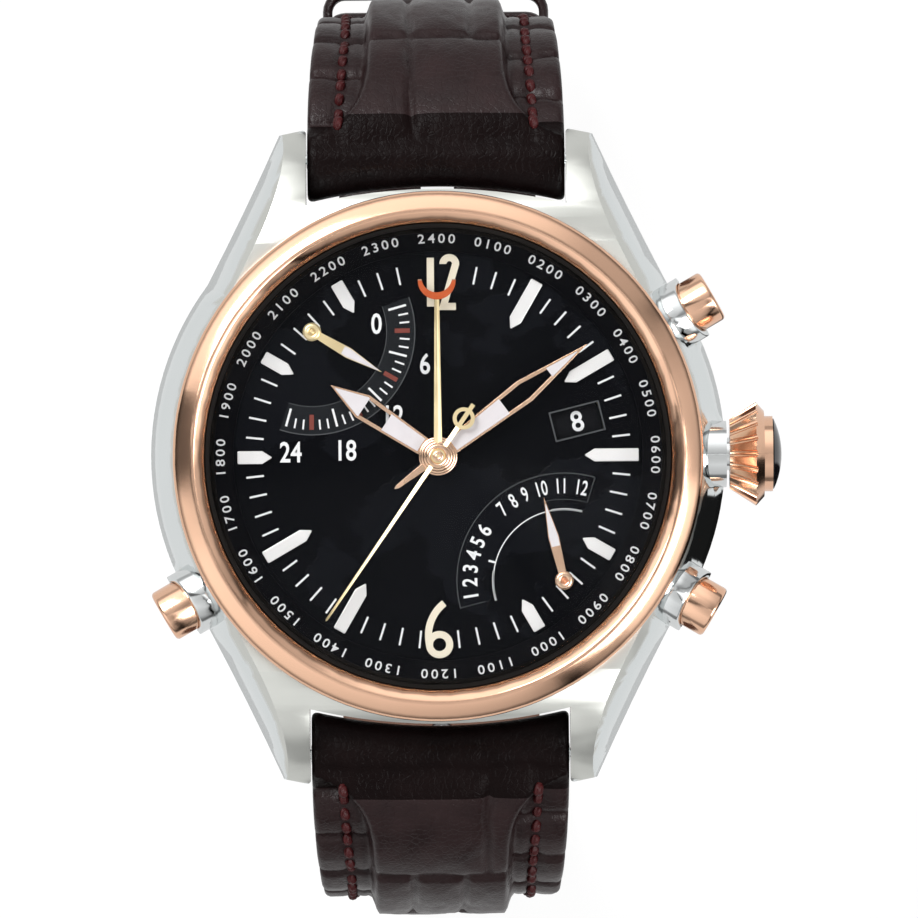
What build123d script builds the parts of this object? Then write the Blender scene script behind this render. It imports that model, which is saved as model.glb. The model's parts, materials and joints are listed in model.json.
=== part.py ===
from build123d import *
import os
from math import atan2, cos, degrees, hypot, pi, radians, sin

# World time wristwatch in millimetres.
# The dial faces +Z, 12 o'clock points along +Y and the crown along +X.
# The origin is the centre of the case back's outer face, which touches the wrist.
# Radii are chained outwards from the movement and heights upwards from the case back.

# General
overrun = 3.0
seat_gap = 0.05
half_turn = 180.0
quarter_turn = 90.0

# Case, outside the bore that holds the movement
case_shelf_width = 1.8
case_widest_height = 3.0
case_top_distance = 1.8
flank_angle = 20.0
underside_angle = 14.0
lug_gap = 20.0
lug_overhang_length = 3.1
lug_tip_width = 1.85
lug_tip_slant_depth = 0.4
lug_join_angle = 37.0
lug_waist_depth = 0.1
lug_blank_length = 2.0
lug_slope_length = 8.8
lug_tip_bottom_height = 1.2
lug_tip_thickness = 1.5
lug_belly_length = 2.4
lug_belly_height = 0.5
lug_end_wall_gap = 0.25
lug_end_wall_depth = 1.2
lug_edge_radius = 0.25

# Spring bars that hold the strap between the lugs
bar_tip_distance = 2.3
bar_height = 2.7
bar_radius = 0.75
bar_tip_radius = 0.42
bar_tip_length = 0.8
bar_end_gap = 0.06
bar_tip_gap = 0.03
bar_collar_length = 0.9
bar_collar_depth = 0.15

# Bezel
bezel_width = 2.5
bezel_height = 2.5
bezel_shoulder_height = 1.6
bezel_face_width = 1.6
bezel_face_depth = 0.1
bezel_inner_depth = 0.8

# Crystal and its gasket
crystal_seat_height = 0.5
crystal_thickness = 1.25
crystal_bevel_width = 0.2
gasket_width = 0.3
gasket_lip_height = 0.25
gasket_lip_width = 0.65

# Number ring between dial and crystal
number_ring_width = 2.1
number_ring_lip_height = 0.35
number_ring_top_width = 0.45

# Dial
dial_thickness = 0.4
dial_edge_gap = 0.3
dial_hole_gap = 0.15
sub_dial_offset_share = 0.5926
date_angle = 13.7
date_place_share = 0.679
date_window_length = 3.7
date_window_width = 2.1

# Hour markers
marker_height = 0.3
marker_width = 1.0
marker_edge_gap = 0.3
long_marker_length = 4.2
short_marker_length = 2.7
marker_point_length = 0.8
long_marker_angles = (60.0, 30.0, 0.0, -120.0, -150.0)
short_marker_angles = (-30.0, -60.0, -180.0, -210.0, -240.0)
numeral_stroke_width = 0.55
numeral_edge_gap = 0.2
numeral_twelve_height = 4.3
numeral_twelve_digit_width = 1.25
numeral_twelve_gap = 0.42
numeral_six_height = 4.5
numeral_six_width = 2.1
numeral_six_lean_angle = 60.0
numeral_six_end_share = 0.5

# Case back and its screws
back_thickness = 1.0
back_edge_width = 1.9
back_boss_height = 0.5
back_boss_gap = 0.1
back_gasket_width = 0.8
back_gasket_depth = 0.45
back_edge_depth = 0.3
back_screw_count = 6
back_screw_first_share = 0.5
back_screw_wall_width = 1.3
back_screw_head_radius = 0.75
back_screw_head_depth = 0.5
back_screw_radius = 0.4
back_screw_length = 2.4
back_screw_slot_width = 0.22
back_screw_slot_depth = 0.22
back_screw_gap = 0.03

# Movement, with its plan in shares of its radius
movement_radius = 16.2
holder_gap = 0.1
holder_width = 1.4
holder_foot_gap = 0.1
plate_thickness = 1.0
plate_lip_width = 1.0
bridge_gap = 0.15
bridge_thickness = 0.3
bridge_share = 0.3519
pillar_share = 0.0278
pillar_circle_share = 0.3148
pillar_angles = (75.0, 290.0)
plate_screw_share = 0.0154
plate_screw_head_share = 0.0259
plate_screw_head_height = 0.12
plate_screw_depth = 0.9
arbor_gap = 0.04
train_room_height = 1.55
dial_room_height = 1.6
stem_drop_depth = 0.2

# Wheels of the going train, from the motor to the hands
wheel_thickness = 0.15
tooth_tip_share = 0.8
tooth_root_share = 1.15
tooth_root_shares = (-0.31, 0.31)
tooth_tip_shares = (-0.1, 0.1)
hub_share = 0.0185
arbor_share = 0.01235
pivot_share = 0.0074
thick_arbor_share = 0.0148
pivot_length = 0.25
rotor_module_share = 0.00494
train_module_share = 0.00679
minute_module_share = 0.00432
rotor_pinion_teeth = 8
intermediate_wheel_teeth = 48
intermediate_pinion_teeth = 8
second_wheel_teeth = 40
second_pinion_teeth = 8
third_wheel_teeth = 60
third_pinion_teeth = 8
minute_wheel_teeth = 64
cannon_pinion_teeth = 12
motion_wheel_teeth = 36
motion_pinion_teeth = 10
hour_wheel_teeth = 40
world_pinion_teeth = 10
world_wheel_teeth = 36
sub_pinion_teeth = 8
sub_wheel_teeth = 40
third_angle = 140.0
intermediate_angle = 215.0
world_angle = 15.0
motion_angle = 300.0
second_wheel_gap = 0.15
third_wheel_gap = 0.4
intermediate_wheel_gap = 0.75
world_wheel_gap = 0.95
sub_wheel_gap = 0.95
minute_wheel_gap = 1.25
motion_wheel_gap = 0.15
motion_post_height = 0.95
hour_wheel_gap = 0.5
second_arbor_share = 0.00802
world_tube_share = 0.01975
minute_tube_share = 0.0358
hour_tube_share = 0.05247
sub_arbor_share = 0.0216
world_hub_height = 0.1

# Stepping motors
magnet_share = 0.0432
magnet_gap = 0.15
magnet_foot_gap = 0.35
magnet_height = 0.4
stator_gap = 0.4
stator_thickness = 0.3
stator_length_share = 0.2037
stator_width_share = 0.071
stator_arm_share = 0.0617
coil_offset_share = 0.2593
coil_radius = 0.85
coil_core_radius = 0.3

# Battery, circuit and quartz
battery_share = 0.2932
battery_thickness = 1.75
battery_step_width = 0.35
battery_x_share = -0.0926
battery_y_share = -0.6728
clamp_width = 1.6
clamp_thickness = 0.2
clamp_overhang_length = 1.5
clamp_foot_length = 0.75
clamp_angle = -20.0
circuit_inner_share = 0.5309
circuit_outer_share = 0.9506
circuit_start_angle = 24.0
circuit_end_angle = 82.0
circuit_thickness = 0.3
chip_width = 1.8
chip_height = 0.45
chip_place_share = 0.25
quartz_radius = 0.75
quartz_length = 5.5
quartz_angle = 62.0
quartz_place_share = 0.7284

# Date ring
date_ring_outer_share = 0.7932
date_ring_inner_share = 0.5679
date_ring_thickness = 0.2
date_ring_gap = 0.45
date_tooth_count = 31
date_tooth_depth = 0.35
date_seat_width = 1.2

# Hands
hand_thickness = 0.14
sub_hand_gap = 0.4
hour_hand_gap = 0.7
minute_hand_gap = 1.02
world_hand_gap = 1.34
second_hand_gap = 1.66
hour_hand_share = 0.6306
hour_hand_width = 2.0
hour_hand_angle = 146.1
minute_hand_share = 0.914
minute_hand_width = 1.9
minute_tail_length = 4.2
minute_tail_width = 0.74
minute_hand_angle = 36.5
second_hand_share = 0.9745
second_hand_width = 0.34
second_hand_tip_width = 0.17
second_tail_length = 4.8
second_hand_angle = 235.3
world_hand_share = 0.7834
world_hand_root_width = 0.62
world_hand_tip_width = 0.3
world_hand_angle = 90.0
crescent_radius = 1.45
crescent_width = 0.55
crescent_place_share = 0.8567
home_hand_share = 0.6458
home_hand_angle = -30.4
season_hand_share = 0.6875
season_hand_angle = 103.4
sub_hand_width = 0.82
hand_frame_width = 0.3
hour_hub_radius = 1.5
minute_hub_radius = 1.35
world_hub_radius = 1.15
second_hub_radius = 0.95
second_cap_radius = 0.475
sub_hub_radius = 0.7
second_cap_height = 0.14
counterweight_radius = 0.85
counterweight_distance = 3.5
blade_root_share = 0.65
hour_blade_split_share = 0.7
hour_window_start_share = 0.475
hour_window_end_share = 0.69
minute_blade_split_share = 0.58
minute_window_start_share = 0.44
minute_window_end_share = 0.745
sub_blade_split_share = 0.52
crescent_shift_share = 0.5
crescent_open_share = 0.93

# Crown, its tube and stem
crown_gap = 0.3
crown_length = 2.65
crown_foot_radius = 2.7
crown_widest_radius = 4.0
crown_widest_length = 2.0
crown_shoulder_radius = 3.3
crown_neck_radius = 2.9
crown_neck_length = 0.65
crown_flute_count = 20
crown_flute_radius = 0.3
crown_flute_depth = 0.2
crown_bore_radius = 1.45
crown_roof_thickness = 0.75
cabochon_radius = 2.7
cabochon_height = 0.7
cabochon_seat_depth = 0.3
cabochon_edge_height = 0.1
crown_boss_radius = 2.55
crown_boss_depth = 2.1
crown_boss_gap = 0.05
crown_tube_radius = 1.25
crown_tube_length = 0.85
crown_ring_groove_depth = 0.1
crown_ring_distance = 0.35
crown_ring_length = 0.3
stem_radius = 0.45
stem_inner_length = 6.6
stem_groove_distance = 1.0
stem_groove_length = 0.6
stem_groove_radius = 0.25
stem_gap = 0.05
crown_pull_length = 1.0
lever_length = 1.6
lever_thickness = 0.9
lever_side_gap = 0.1

# Pushers at 2, 4 and 8 o'clock
pusher_names = ("pusher_2", "pusher_4", "pusher_8")
pusher_angles = (30.0, -30.0, 210.0)
pusher_cap_radius = 2.05
pusher_cap_length = 2.75
pusher_cap_depth = 0.4
pusher_edge_radius = 0.3
pusher_stem_radius = 0.45
pusher_stem_depth = 1.3
pusher_travel_length = 0.8
collar_radius = 2.55
collar_length = 3.0
collar_rim_height = 0.75
collar_floor_thickness = 0.45
collar_tube_radius = 1.0
pusher_gap = 0.06
pusher_foot_radius = 0.8
pusher_foot_thickness = 0.3
return_spring_wire_radius = 0.07
return_spring_radius = 1.05
return_spring_turns = 4

# Strap, a formed leather loop in two halves
strap_side_gap = 0.1
strap_taper_share = 0.92
strap_end_share = 0.88
strap_taper_length = 15.6
strap_inside_thickness = 1.2
strap_outside_thickness = 1.2
strap_pad_thickness = 1.4
strap_pad_share = 0.5758
strap_end_radius = 2.15
strap_nose_gap = 0.25
strap_nose_thickness = 0.1
strap_dip_angle = 20.0
shoulder_radius = 15.5
side_run_length = 34.0
corner_radius = 14.0
strap_taper_depth = 1.2
strap_tip_length = 7.0
strap_tip_gap = 0.45
strap_bore_gap = 0.05
strap_hole_radius = 0.9
strap_hole_pitch_length = 6.5
strap_hole_count = 6
strap_first_hole_length = 24.0
keeper_thickness = 0.75
keeper_length = 5.0
keeper_side_gap = 0.3
keeper_skin_gap = 0.3
keeper_slot_gap = 2.5
fixed_keeper_angle = 30.0
free_keeper_share = 0.9

# Pin buckle
buckle_bar_radius = 0.55
buckle_bar_gap = 0.05
buckle_length = 11.0
buckle_arm_width = 1.9
buckle_arm_gap = 0.3
buckle_end_width = 2.2
buckle_thickness = 2.3
buckle_edge_radius = 0.5
buckle_corner_radius = 2.5
tongue_width = 1.7
tongue_thickness = 0.9
tongue_ring_radius = 1.1
tongue_slot_gap = 0.3
tongue_slot_depth = 2.6
tongue_slot_height = 7.0
tongue_seat_gap = 0.06
tongue_tip_length = 0.35

# Radii worked out from the movement outwards
case_bore_radius = movement_radius + holder_width + 2 * holder_gap
bezel_radius = case_bore_radius + bezel_width
bezel_crown_radius = bezel_radius - bezel_face_width
case_radius = bezel_radius + case_shelf_width
crystal_radius = case_bore_radius - gasket_width
dial_radius = case_bore_radius - dial_edge_gap
number_ring_inner_radius = case_bore_radius - number_ring_width
marker_outer_radius = number_ring_inner_radius - marker_edge_gap
numeral_outer_radius = number_ring_inner_radius - numeral_edge_gap
back_radius = case_radius - back_edge_width
back_boss_radius = case_bore_radius - back_boss_gap
back_screw_circle_radius = case_bore_radius + back_screw_wall_width

# Places along the lugs and the strap gap
lug_half_gap = lug_gap / 2
lug_tip_y = case_radius + lug_overhang_length
lug_tip_x = lug_half_gap + lug_tip_width
bar_y = lug_tip_y - bar_tip_distance
lug_top_end_y = lug_tip_y - lug_slope_length
lug_end_wall_y = bar_y - strap_end_radius - lug_end_wall_gap

# Heights worked out from the case back upwards
case_bottom_height = back_thickness
holder_bottom_height = back_thickness + back_boss_height + holder_foot_gap
bridge_bottom_height = holder_bottom_height + bridge_gap
bridge_top_height = bridge_bottom_height + bridge_thickness
second_wheel_height = bridge_top_height + second_wheel_gap
third_wheel_height = bridge_top_height + third_wheel_gap
intermediate_wheel_height = bridge_top_height + intermediate_wheel_gap
world_wheel_height = bridge_top_height + world_wheel_gap
sub_wheel_height = bridge_top_height + sub_wheel_gap
minute_wheel_height = bridge_top_height + minute_wheel_gap
magnet_bottom_height = bridge_top_height + magnet_foot_gap
magnet_top_height = magnet_bottom_height + magnet_height
stator_bottom_height = bridge_top_height + stator_gap
plate_bottom_height = bridge_top_height + train_room_height
plate_top_height = plate_bottom_height + plate_thickness
crown_height = plate_top_height - stem_drop_depth
pusher_height = crown_height
motion_wheel_height = plate_top_height + motion_wheel_gap
hour_wheel_height = plate_top_height + hour_wheel_gap
dial_bottom_height = plate_top_height + dial_room_height
date_ring_height = dial_bottom_height - date_ring_gap
movement_seat_height = dial_bottom_height - seat_gap
dial_top_height = dial_bottom_height + dial_thickness
case_top_height = dial_top_height + case_top_distance
bezel_top_height = case_top_height + bezel_height
crystal_bottom_height = case_top_height + crystal_seat_height
crystal_top_height = crystal_bottom_height + crystal_thickness
sub_hand_height = dial_top_height + sub_hand_gap
hour_hand_height = dial_top_height + hour_hand_gap
minute_hand_height = dial_top_height + minute_hand_gap
world_hand_height = dial_top_height + world_hand_gap
second_hand_height = dial_top_height + second_hand_gap
back_screw_tip_height = back_screw_head_depth + back_screw_length
clamp_bottom_height = holder_bottom_height + seat_gap
battery_bottom_height = clamp_bottom_height + clamp_thickness
battery_rim_height = battery_bottom_height + battery_thickness
battery_top_height = battery_rim_height + battery_step_width

# Plan of the movement
bridge_radius = movement_radius * bridge_share
pillar_radius = movement_radius * pillar_share
pillar_circle_radius = movement_radius * pillar_circle_share
plate_screw_radius = movement_radius * plate_screw_share
plate_screw_head_radius = movement_radius * plate_screw_head_share
hub_radius = movement_radius * hub_share
arbor_radius = movement_radius * arbor_share
pivot_radius = movement_radius * pivot_share
thick_arbor_radius = movement_radius * thick_arbor_share
rotor_module = movement_radius * rotor_module_share
train_module = movement_radius * train_module_share
minute_module = movement_radius * minute_module_share
second_arbor_radius = movement_radius * second_arbor_share
world_tube_radius = movement_radius * world_tube_share
minute_tube_radius = movement_radius * minute_tube_share
hour_tube_radius = movement_radius * hour_tube_share
sub_arbor_radius = movement_radius * sub_arbor_share
magnet_radius = movement_radius * magnet_share
stator_half_length = movement_radius * stator_length_share
stator_half_width = movement_radius * stator_width_share
stator_arm_width = movement_radius * stator_arm_share
coil_offset = movement_radius * coil_offset_share
battery_radius = movement_radius * battery_share
battery_place = (movement_radius * battery_x_share, movement_radius * battery_y_share)
circuit_inner_radius = movement_radius * circuit_inner_share
circuit_outer_radius = movement_radius * circuit_outer_share
quartz_place_radius = movement_radius * quartz_place_share
date_ring_outer_radius = movement_radius * date_ring_outer_share
date_ring_inner_radius = movement_radius * date_ring_inner_share
hour_room_radius = date_ring_inner_radius - date_seat_width
third_distance = minute_module * (third_pinion_teeth + minute_wheel_teeth) / 2
third_module = 2 * third_distance / (second_pinion_teeth + third_wheel_teeth)
intermediate_distance = train_module * (intermediate_pinion_teeth + second_wheel_teeth) / 2
rotor_distance = rotor_module * (rotor_pinion_teeth + intermediate_wheel_teeth) / 2
world_distance = train_module * (world_pinion_teeth + world_wheel_teeth) / 2
sub_distance = train_module * (sub_pinion_teeth + sub_wheel_teeth) / 2
motion_distance = train_module * (motion_pinion_teeth + hour_wheel_teeth) / 2
motion_module = 2 * motion_distance / (cannon_pinion_teeth + motion_wheel_teeth)

# Dial holes, sub dials and hand lengths
sub_dial_offset = movement_radius * sub_dial_offset_share
home_place = (-sub_dial_offset, sub_dial_offset)
season_place = (sub_dial_offset, -sub_dial_offset)
sub_places = (home_place, season_place)
date_place_radius = movement_radius * date_place_share
dial_centre_radius = hour_tube_radius + dial_hole_gap
dial_sub_radius = sub_arbor_radius + dial_hole_gap
hour_hand_length = number_ring_inner_radius * hour_hand_share
minute_hand_length = number_ring_inner_radius * minute_hand_share
second_hand_length = number_ring_inner_radius * second_hand_share
world_hand_length = number_ring_inner_radius * world_hand_share
crescent_place_radius = number_ring_inner_radius * crescent_place_share
home_hand_length = sub_dial_offset * home_hand_share
season_hand_length = sub_dial_offset * season_hand_share

# Places along the crown and the pushers
crown_start_x = case_radius + crown_gap
crown_widest_x = crown_start_x + crown_widest_length
crown_end_x = crown_start_x + crown_length
crown_roof_x = crown_end_x - crown_roof_thickness
crown_neck_end_x = crown_end_x + crown_neck_length
crown_boss_inner_x = case_radius - crown_boss_depth
crown_boss_outer_x = case_radius + crown_boss_gap
crown_tube_inner_x = case_bore_radius + holder_gap
crown_tube_outer_x = crown_start_x + crown_tube_length
crown_ring_x = crown_start_x + crown_ring_distance
crown_groove_radius = crown_tube_radius - crown_ring_groove_depth
stem_inner_x = movement_radius - stem_inner_length
stem_groove_x = stem_inner_x + stem_groove_distance
pusher_cap_bottom_x = case_radius - pusher_cap_depth
pusher_cap_top_x = pusher_cap_bottom_x + pusher_cap_length
pusher_stem_inner_x = case_bore_radius - pusher_stem_depth
pusher_foot_inner_x = pusher_stem_inner_x - pusher_foot_thickness
collar_outer_x = case_radius + collar_rim_height
collar_seat_x = collar_outer_x - collar_length
collar_floor_x = collar_seat_x + collar_floor_thickness

# Strap path, seen from the side: from the spring bar over a shoulder, down, and round a corner
strap_width_at_lugs = lug_gap - 2 * strap_side_gap
strap_width = strap_width_at_lugs * strap_taper_share
strap_end_width = strap_width * strap_end_share
strap_pad_width = strap_width_at_lugs * strap_pad_share
shoulder_centre_y = bar_y - shoulder_radius * sin(radians(strap_dip_angle))
shoulder_centre_z = bar_height - shoulder_radius * cos(radians(strap_dip_angle))
corner_centre_y = shoulder_centre_y + shoulder_radius - corner_radius
corner_centre_z = shoulder_centre_z - side_run_length
sole_middle_height = corner_centre_z - corner_radius
sole_height = sole_middle_height - strap_outside_thickness
pad_outside_height = strap_outside_thickness + strap_pad_thickness
buckle_end_y = corner_centre_y - buckle_length
tongue_top_height = sole_height + tongue_thickness
strap_tip_y = buckle_end_y - strap_tip_gap
corner_length = corner_radius * pi / 2
long_flat_length = corner_centre_y + strap_tip_y
free_keeper_z = shoulder_centre_z - side_run_length * free_keeper_share


def on_circle(radius, angle):
    """Point at a radius and an angle in degrees, counted from 3 o'clock"""
    return (radius * cos(radians(angle)), radius * sin(radians(angle)))


def disc(radius, bottom, top, place=(0, 0)):
    """Upright cylinder between two heights"""
    body = Cylinder(radius, top - bottom, align=(Align.CENTER, Align.CENTER, Align.MIN))
    return Pos(place[0], place[1], bottom) * body


def ring(outer, inner, bottom, top, place=(0, 0)):
    """Upright tube between two heights"""
    return disc(outer, bottom, top, place) - disc(inner, bottom - overrun, top + overrun, place)


def rod_x(radius, start, end, height):
    """Cylinder lying along +X"""
    body = Cylinder(radius, end - start, align=(Align.CENTER, Align.CENTER, Align.MIN))
    return Pos(start, 0, height) * Rot(0, quarter_turn, 0) * body


def tube_x(outer, inner, start, end, height):
    """Tube lying along +X"""
    return rod_x(outer, start, end, height) - rod_x(inner, start - overrun, end + overrun, height)


def slab(x_size, y_size, bottom, top):
    """Box centred in plan, between two heights"""
    body = Box(x_size, y_size, top - bottom, align=(Align.CENTER, Align.CENTER, Align.MIN))
    return Pos(0, 0, bottom) * body


def turned(points):
    """Solid turned about the dial axis from an outline of radius and height"""
    return revolve(Plane.XZ * Polygon(*points, align=None), Axis.Z)


def single(shape):
    """One solid out of a result that may be wrapped in a compound"""
    solids = shape.solids()
    return solids[0] if len(solids) == 1 else Compound(children=list(solids))


def gear(teeth, module, bottom, top, turn):
    """Spur toothing with straight flanks, turned so that tooth 0 lies at an angle"""
    pitch = teeth * module / 2
    tip = pitch + tooth_tip_share * module
    root = pitch - tooth_root_share * module
    corners = (
        (root, tooth_root_shares[0]),
        (tip, tooth_tip_shares[0]),
        (tip, tooth_tip_shares[1]),
        (root, tooth_root_shares[1]),
    )
    points = []
    for tooth in range(teeth):
        for radius, share in corners:
            points.append(on_circle(radius, turn + 2 * half_turn * (tooth + share) / teeth))
    return Pos(0, 0, bottom) * extrude(Polygon(*points, align=None), top - bottom)


def facing_gap(teeth, angle):
    """Turn that puts a gap between teeth at an angle"""
    return angle + half_turn / teeth


def shoulder_point(angle, offset):
    """Point beside the shoulder arc, at an angle from the top"""
    radius = shoulder_radius + offset
    turn = radians(angle)
    return (shoulder_centre_y + radius * sin(turn), shoulder_centre_z + radius * cos(turn))


def corner_point(angle, offset):
    """Point beside the lower corner arc, at an angle from its start"""
    radius = corner_radius + offset
    turn = radians(angle)
    return (corner_centre_y + radius * cos(turn), corner_centre_z - radius * sin(turn))


def shoulder_arc(offset):
    """Arc beside the shoulder, from the spring bar to the vertical run"""
    middle = (strap_dip_angle + quarter_turn) / 2
    ends = (shoulder_point(angle, offset) for angle in (strap_dip_angle, middle, quarter_turn))
    return ThreePointArc(*ends)


def corner_arc(offset):
    """Arc beside the lower corner, from the vertical run to the sole"""
    ends = (corner_point(angle, offset) for angle in (0, quarter_turn / 2, quarter_turn))
    return ThreePointArc(*ends)


def band_face(inside, outside, flat_length, with_corner=True):
    """Side outline of a stretch of strap between two offsets from its path"""
    edges = [shoulder_arc(outside), shoulder_arc(-inside)]
    edges.append(Line(shoulder_point(strap_dip_angle, -inside), shoulder_point(strap_dip_angle, outside)))
    for offset in (outside, -inside):
        edges.append(Line(shoulder_point(quarter_turn, offset), corner_point(0, offset)))
    if not with_corner:
        edges.append(Line(corner_point(0, -inside), corner_point(0, outside)))
        return Plane.YZ * make_face(edges)
    end_points = []
    for offset in (outside, -inside):
        edges.append(corner_arc(offset))
        corner_end = corner_point(quarter_turn, offset)
        end_point = (corner_end[0] - flat_length, corner_end[1])
        if flat_length > 0:
            edges.append(Line(corner_end, end_point))
        end_points.append(end_point)
    edges.append(Line(*end_points))
    return Plane.YZ * make_face(edges)


def case_outline():
    """Plan of the case and its four lugs with the strap gaps still filled"""
    tip = (lug_tip_x, lug_tip_y)
    join = on_circle(case_radius, lug_join_angle)
    chord = hypot(tip[0] - join[0], tip[1] - join[1])
    waist_x = (join[0] + tip[0]) / 2 - lug_waist_depth * (tip[1] - join[1]) / chord
    waist_y = (join[1] + tip[1]) / 2 + lug_waist_depth * (tip[0] - join[0]) / chord
    blank_y = tip[1] + lug_blank_length
    edges = []
    for side_y in (1, -1):
        for side_x in (1, -1):
            join_point = (side_x * join[0], side_y * join[1])
            waist_point = (side_x * waist_x, side_y * waist_y)
            tip_point = (side_x * tip[0], side_y * tip[1])
            edges.append(ThreePointArc(join_point, waist_point, tip_point))
            edges.append(Line(tip_point, (side_x * tip[0], side_y * blank_y)))
        edges.append(Line((tip[0], side_y * blank_y), (-tip[0], side_y * blank_y)))
    for side_x in (1, -1):
        ends = ((side_x * join[0], join[1]), (side_x * case_radius, 0), (side_x * join[0], -join[1]))
        edges.append(ThreePointArc(*ends))
    return make_face(edges)


def lug_side_profile():
    """Side view of the case and lugs: flat top, lugs curving down to their tips"""
    top_y = lug_top_end_y
    edges = [Line((-top_y, case_top_height), (top_y, case_top_height))]
    edges.append(Line((-top_y, case_bottom_height), (top_y, case_bottom_height)))
    for side in (1, -1):
        start = (side * top_y, case_top_height)
        tip_top = (side * lug_tip_y, lug_tip_bottom_height + lug_tip_thickness)
        tip_bottom = (side * lug_tip_y, lug_tip_bottom_height)
        belly = (side * (lug_tip_y - lug_belly_length), lug_belly_height)
        foot = (side * top_y, case_bottom_height)
        edges.append(TangentArc(start, tip_top, tangent=(side, 0)))
        edges.append(Line(tip_top, tip_bottom))
        edges.append(Line(tip_bottom, belly))
        edges.append(Line(belly, foot))
    return Plane.YZ * make_face(edges)


def lug_tip_plan():
    """Plan whose ends slant back from the strap to the outside of the lugs"""
    far_x = case_radius + overrun
    far_y = lug_tip_y - lug_tip_slant_depth * (far_x - lug_half_gap) / lug_tip_width
    points = [(far_x, far_y), (lug_half_gap, lug_tip_y), (-lug_half_gap, lug_tip_y), (-far_x, far_y)]
    points += [(x, -y) for x, y in reversed(points)]
    return Polygon(*points, align=None)


def strap_gap_cutter():
    """Space between a pair of lugs, closed by the case's shallow end wall"""
    side_y = lug_end_wall_y - lug_end_wall_depth
    far_y = lug_tip_y + overrun + lug_blank_length
    edges = [
        ThreePointArc((lug_half_gap, side_y), (0, lug_end_wall_y), (-lug_half_gap, side_y)),
        Line((-lug_half_gap, side_y), (-lug_half_gap, far_y)),
        Line((-lug_half_gap, far_y), (lug_half_gap, far_y)),
        Line((lug_half_gap, far_y), (lug_half_gap, side_y)),
    ]
    depth = case_top_height + 2 * overrun
    return Pos(0, 0, -overrun) * extrude(make_face(edges), depth)


def radial(angle, shape):
    """Shape laid along +X, turned about the dial axis"""
    return Rot(0, 0, angle) * shape


def build_case_body():
    outline = Pos(0, 0, case_widest_height) * case_outline()
    upper = extrude(outline, case_top_height - case_widest_height, taper=flank_angle)
    lower = extrude(outline, -case_widest_height, taper=underside_angle)
    body = (upper + lower) & extrude(lug_side_profile(), case_radius + overrun, both=True)
    body &= extrude(lug_tip_plan(), case_top_height)
    gap_cutter = strap_gap_cutter()
    body -= gap_cutter
    body -= mirror(gap_cutter, about=Plane.XZ)
    sharp = body.edges().filter_by(GeomType.LINE).filter_by(
        lambda edge: abs(abs(edge.center().Y) - lug_tip_y) < lug_tip_slant_depth + seat_gap
    )
    body = fillet(sharp, lug_edge_radius)
    body -= disc(case_bore_radius, -overrun, case_top_height + overrun)
    body -= disc(back_radius + back_boss_gap, -overrun, back_thickness)
    tip_reach = lug_half_gap + bar_tip_length + bar_tip_gap
    for side in (1, -1):
        bar_hole = rod_x(bar_tip_radius + bar_tip_gap, -tip_reach, tip_reach, bar_height)
        body -= Pos(0, side * bar_y, 0) * bar_hole
    body -= rod_x(crown_tube_radius, 0, case_radius, crown_height)
    body -= rod_x(crown_boss_radius, crown_boss_inner_x, case_radius + overrun, crown_height)
    for angle in pusher_angles:
        body -= radial(angle, rod_x(collar_tube_radius, case_radius / 2, case_radius, pusher_height))
        seat = rod_x(collar_radius, collar_seat_x, case_radius + overrun, pusher_height)
        body -= radial(angle, seat)
    for place in back_screw_places():
        body -= disc(back_screw_radius, 0, back_screw_tip_height, place)
    return single(body)


def back_screw_places():
    """Centres of the case back screws"""
    step = 2 * half_turn / back_screw_count
    first = step * back_screw_first_share
    return [on_circle(back_screw_circle_radius, first + step * index) for index in range(back_screw_count)]


def build_bezel():
    top = bezel_top_height
    inner_top = top - bezel_inner_depth
    shoulder = (bezel_radius, case_top_height + bezel_shoulder_height)
    crown = (bezel_crown_radius, top)
    middle_x = (shoulder[0] + crown[0]) / 2 + bezel_face_depth
    middle_z = (shoulder[1] + crown[1]) / 2 + bezel_face_depth
    edges = [
        Line((case_bore_radius, case_top_height), (bezel_radius, case_top_height)),
        Line((bezel_radius, case_top_height), shoulder),
        ThreePointArc(shoulder, (middle_x, middle_z), crown),
        Line(crown, (case_bore_radius, inner_top)),
        Line((case_bore_radius, inner_top), (case_bore_radius, case_top_height)),
    ]
    return single(revolve(Plane.XZ * make_face(edges), Axis.Z))


def build_crystal():
    bevel = crystal_bevel_width
    return single(turned([
        (0, crystal_bottom_height),
        (crystal_radius, crystal_bottom_height),
        (crystal_radius, crystal_top_height - bevel),
        (crystal_radius - bevel, crystal_top_height),
        (0, crystal_top_height),
    ]))


def build_crystal_gasket():
    lip_bottom = crystal_bottom_height - gasket_lip_height
    top = bezel_top_height - bezel_inner_depth
    lip_radius = case_bore_radius - gasket_lip_width
    return single(turned([
        (lip_radius, lip_bottom),
        (case_bore_radius, lip_bottom),
        (case_bore_radius, top),
        (crystal_radius, top),
        (crystal_radius, crystal_bottom_height),
        (lip_radius, crystal_bottom_height),
    ]))


def build_number_ring():
    outer = case_bore_radius - seat_gap
    top = crystal_bottom_height - gasket_lip_height
    return single(turned([
        (number_ring_inner_radius, dial_top_height),
        (outer, dial_top_height),
        (outer, top),
        (outer - number_ring_top_width, top),
        (number_ring_inner_radius, dial_top_height + number_ring_lip_height),
    ]))


def build_dial():
    body = disc(dial_radius, dial_bottom_height, dial_top_height)
    body -= disc(dial_centre_radius, 0, case_top_height)
    for place in sub_places:
        body -= disc(dial_sub_radius, 0, case_top_height, place)
    window = slab(date_window_length, date_window_width, dial_bottom_height - overrun, case_top_height)
    return single(body - radial(date_angle, Pos(date_place_radius, 0, 0) * window))


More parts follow.
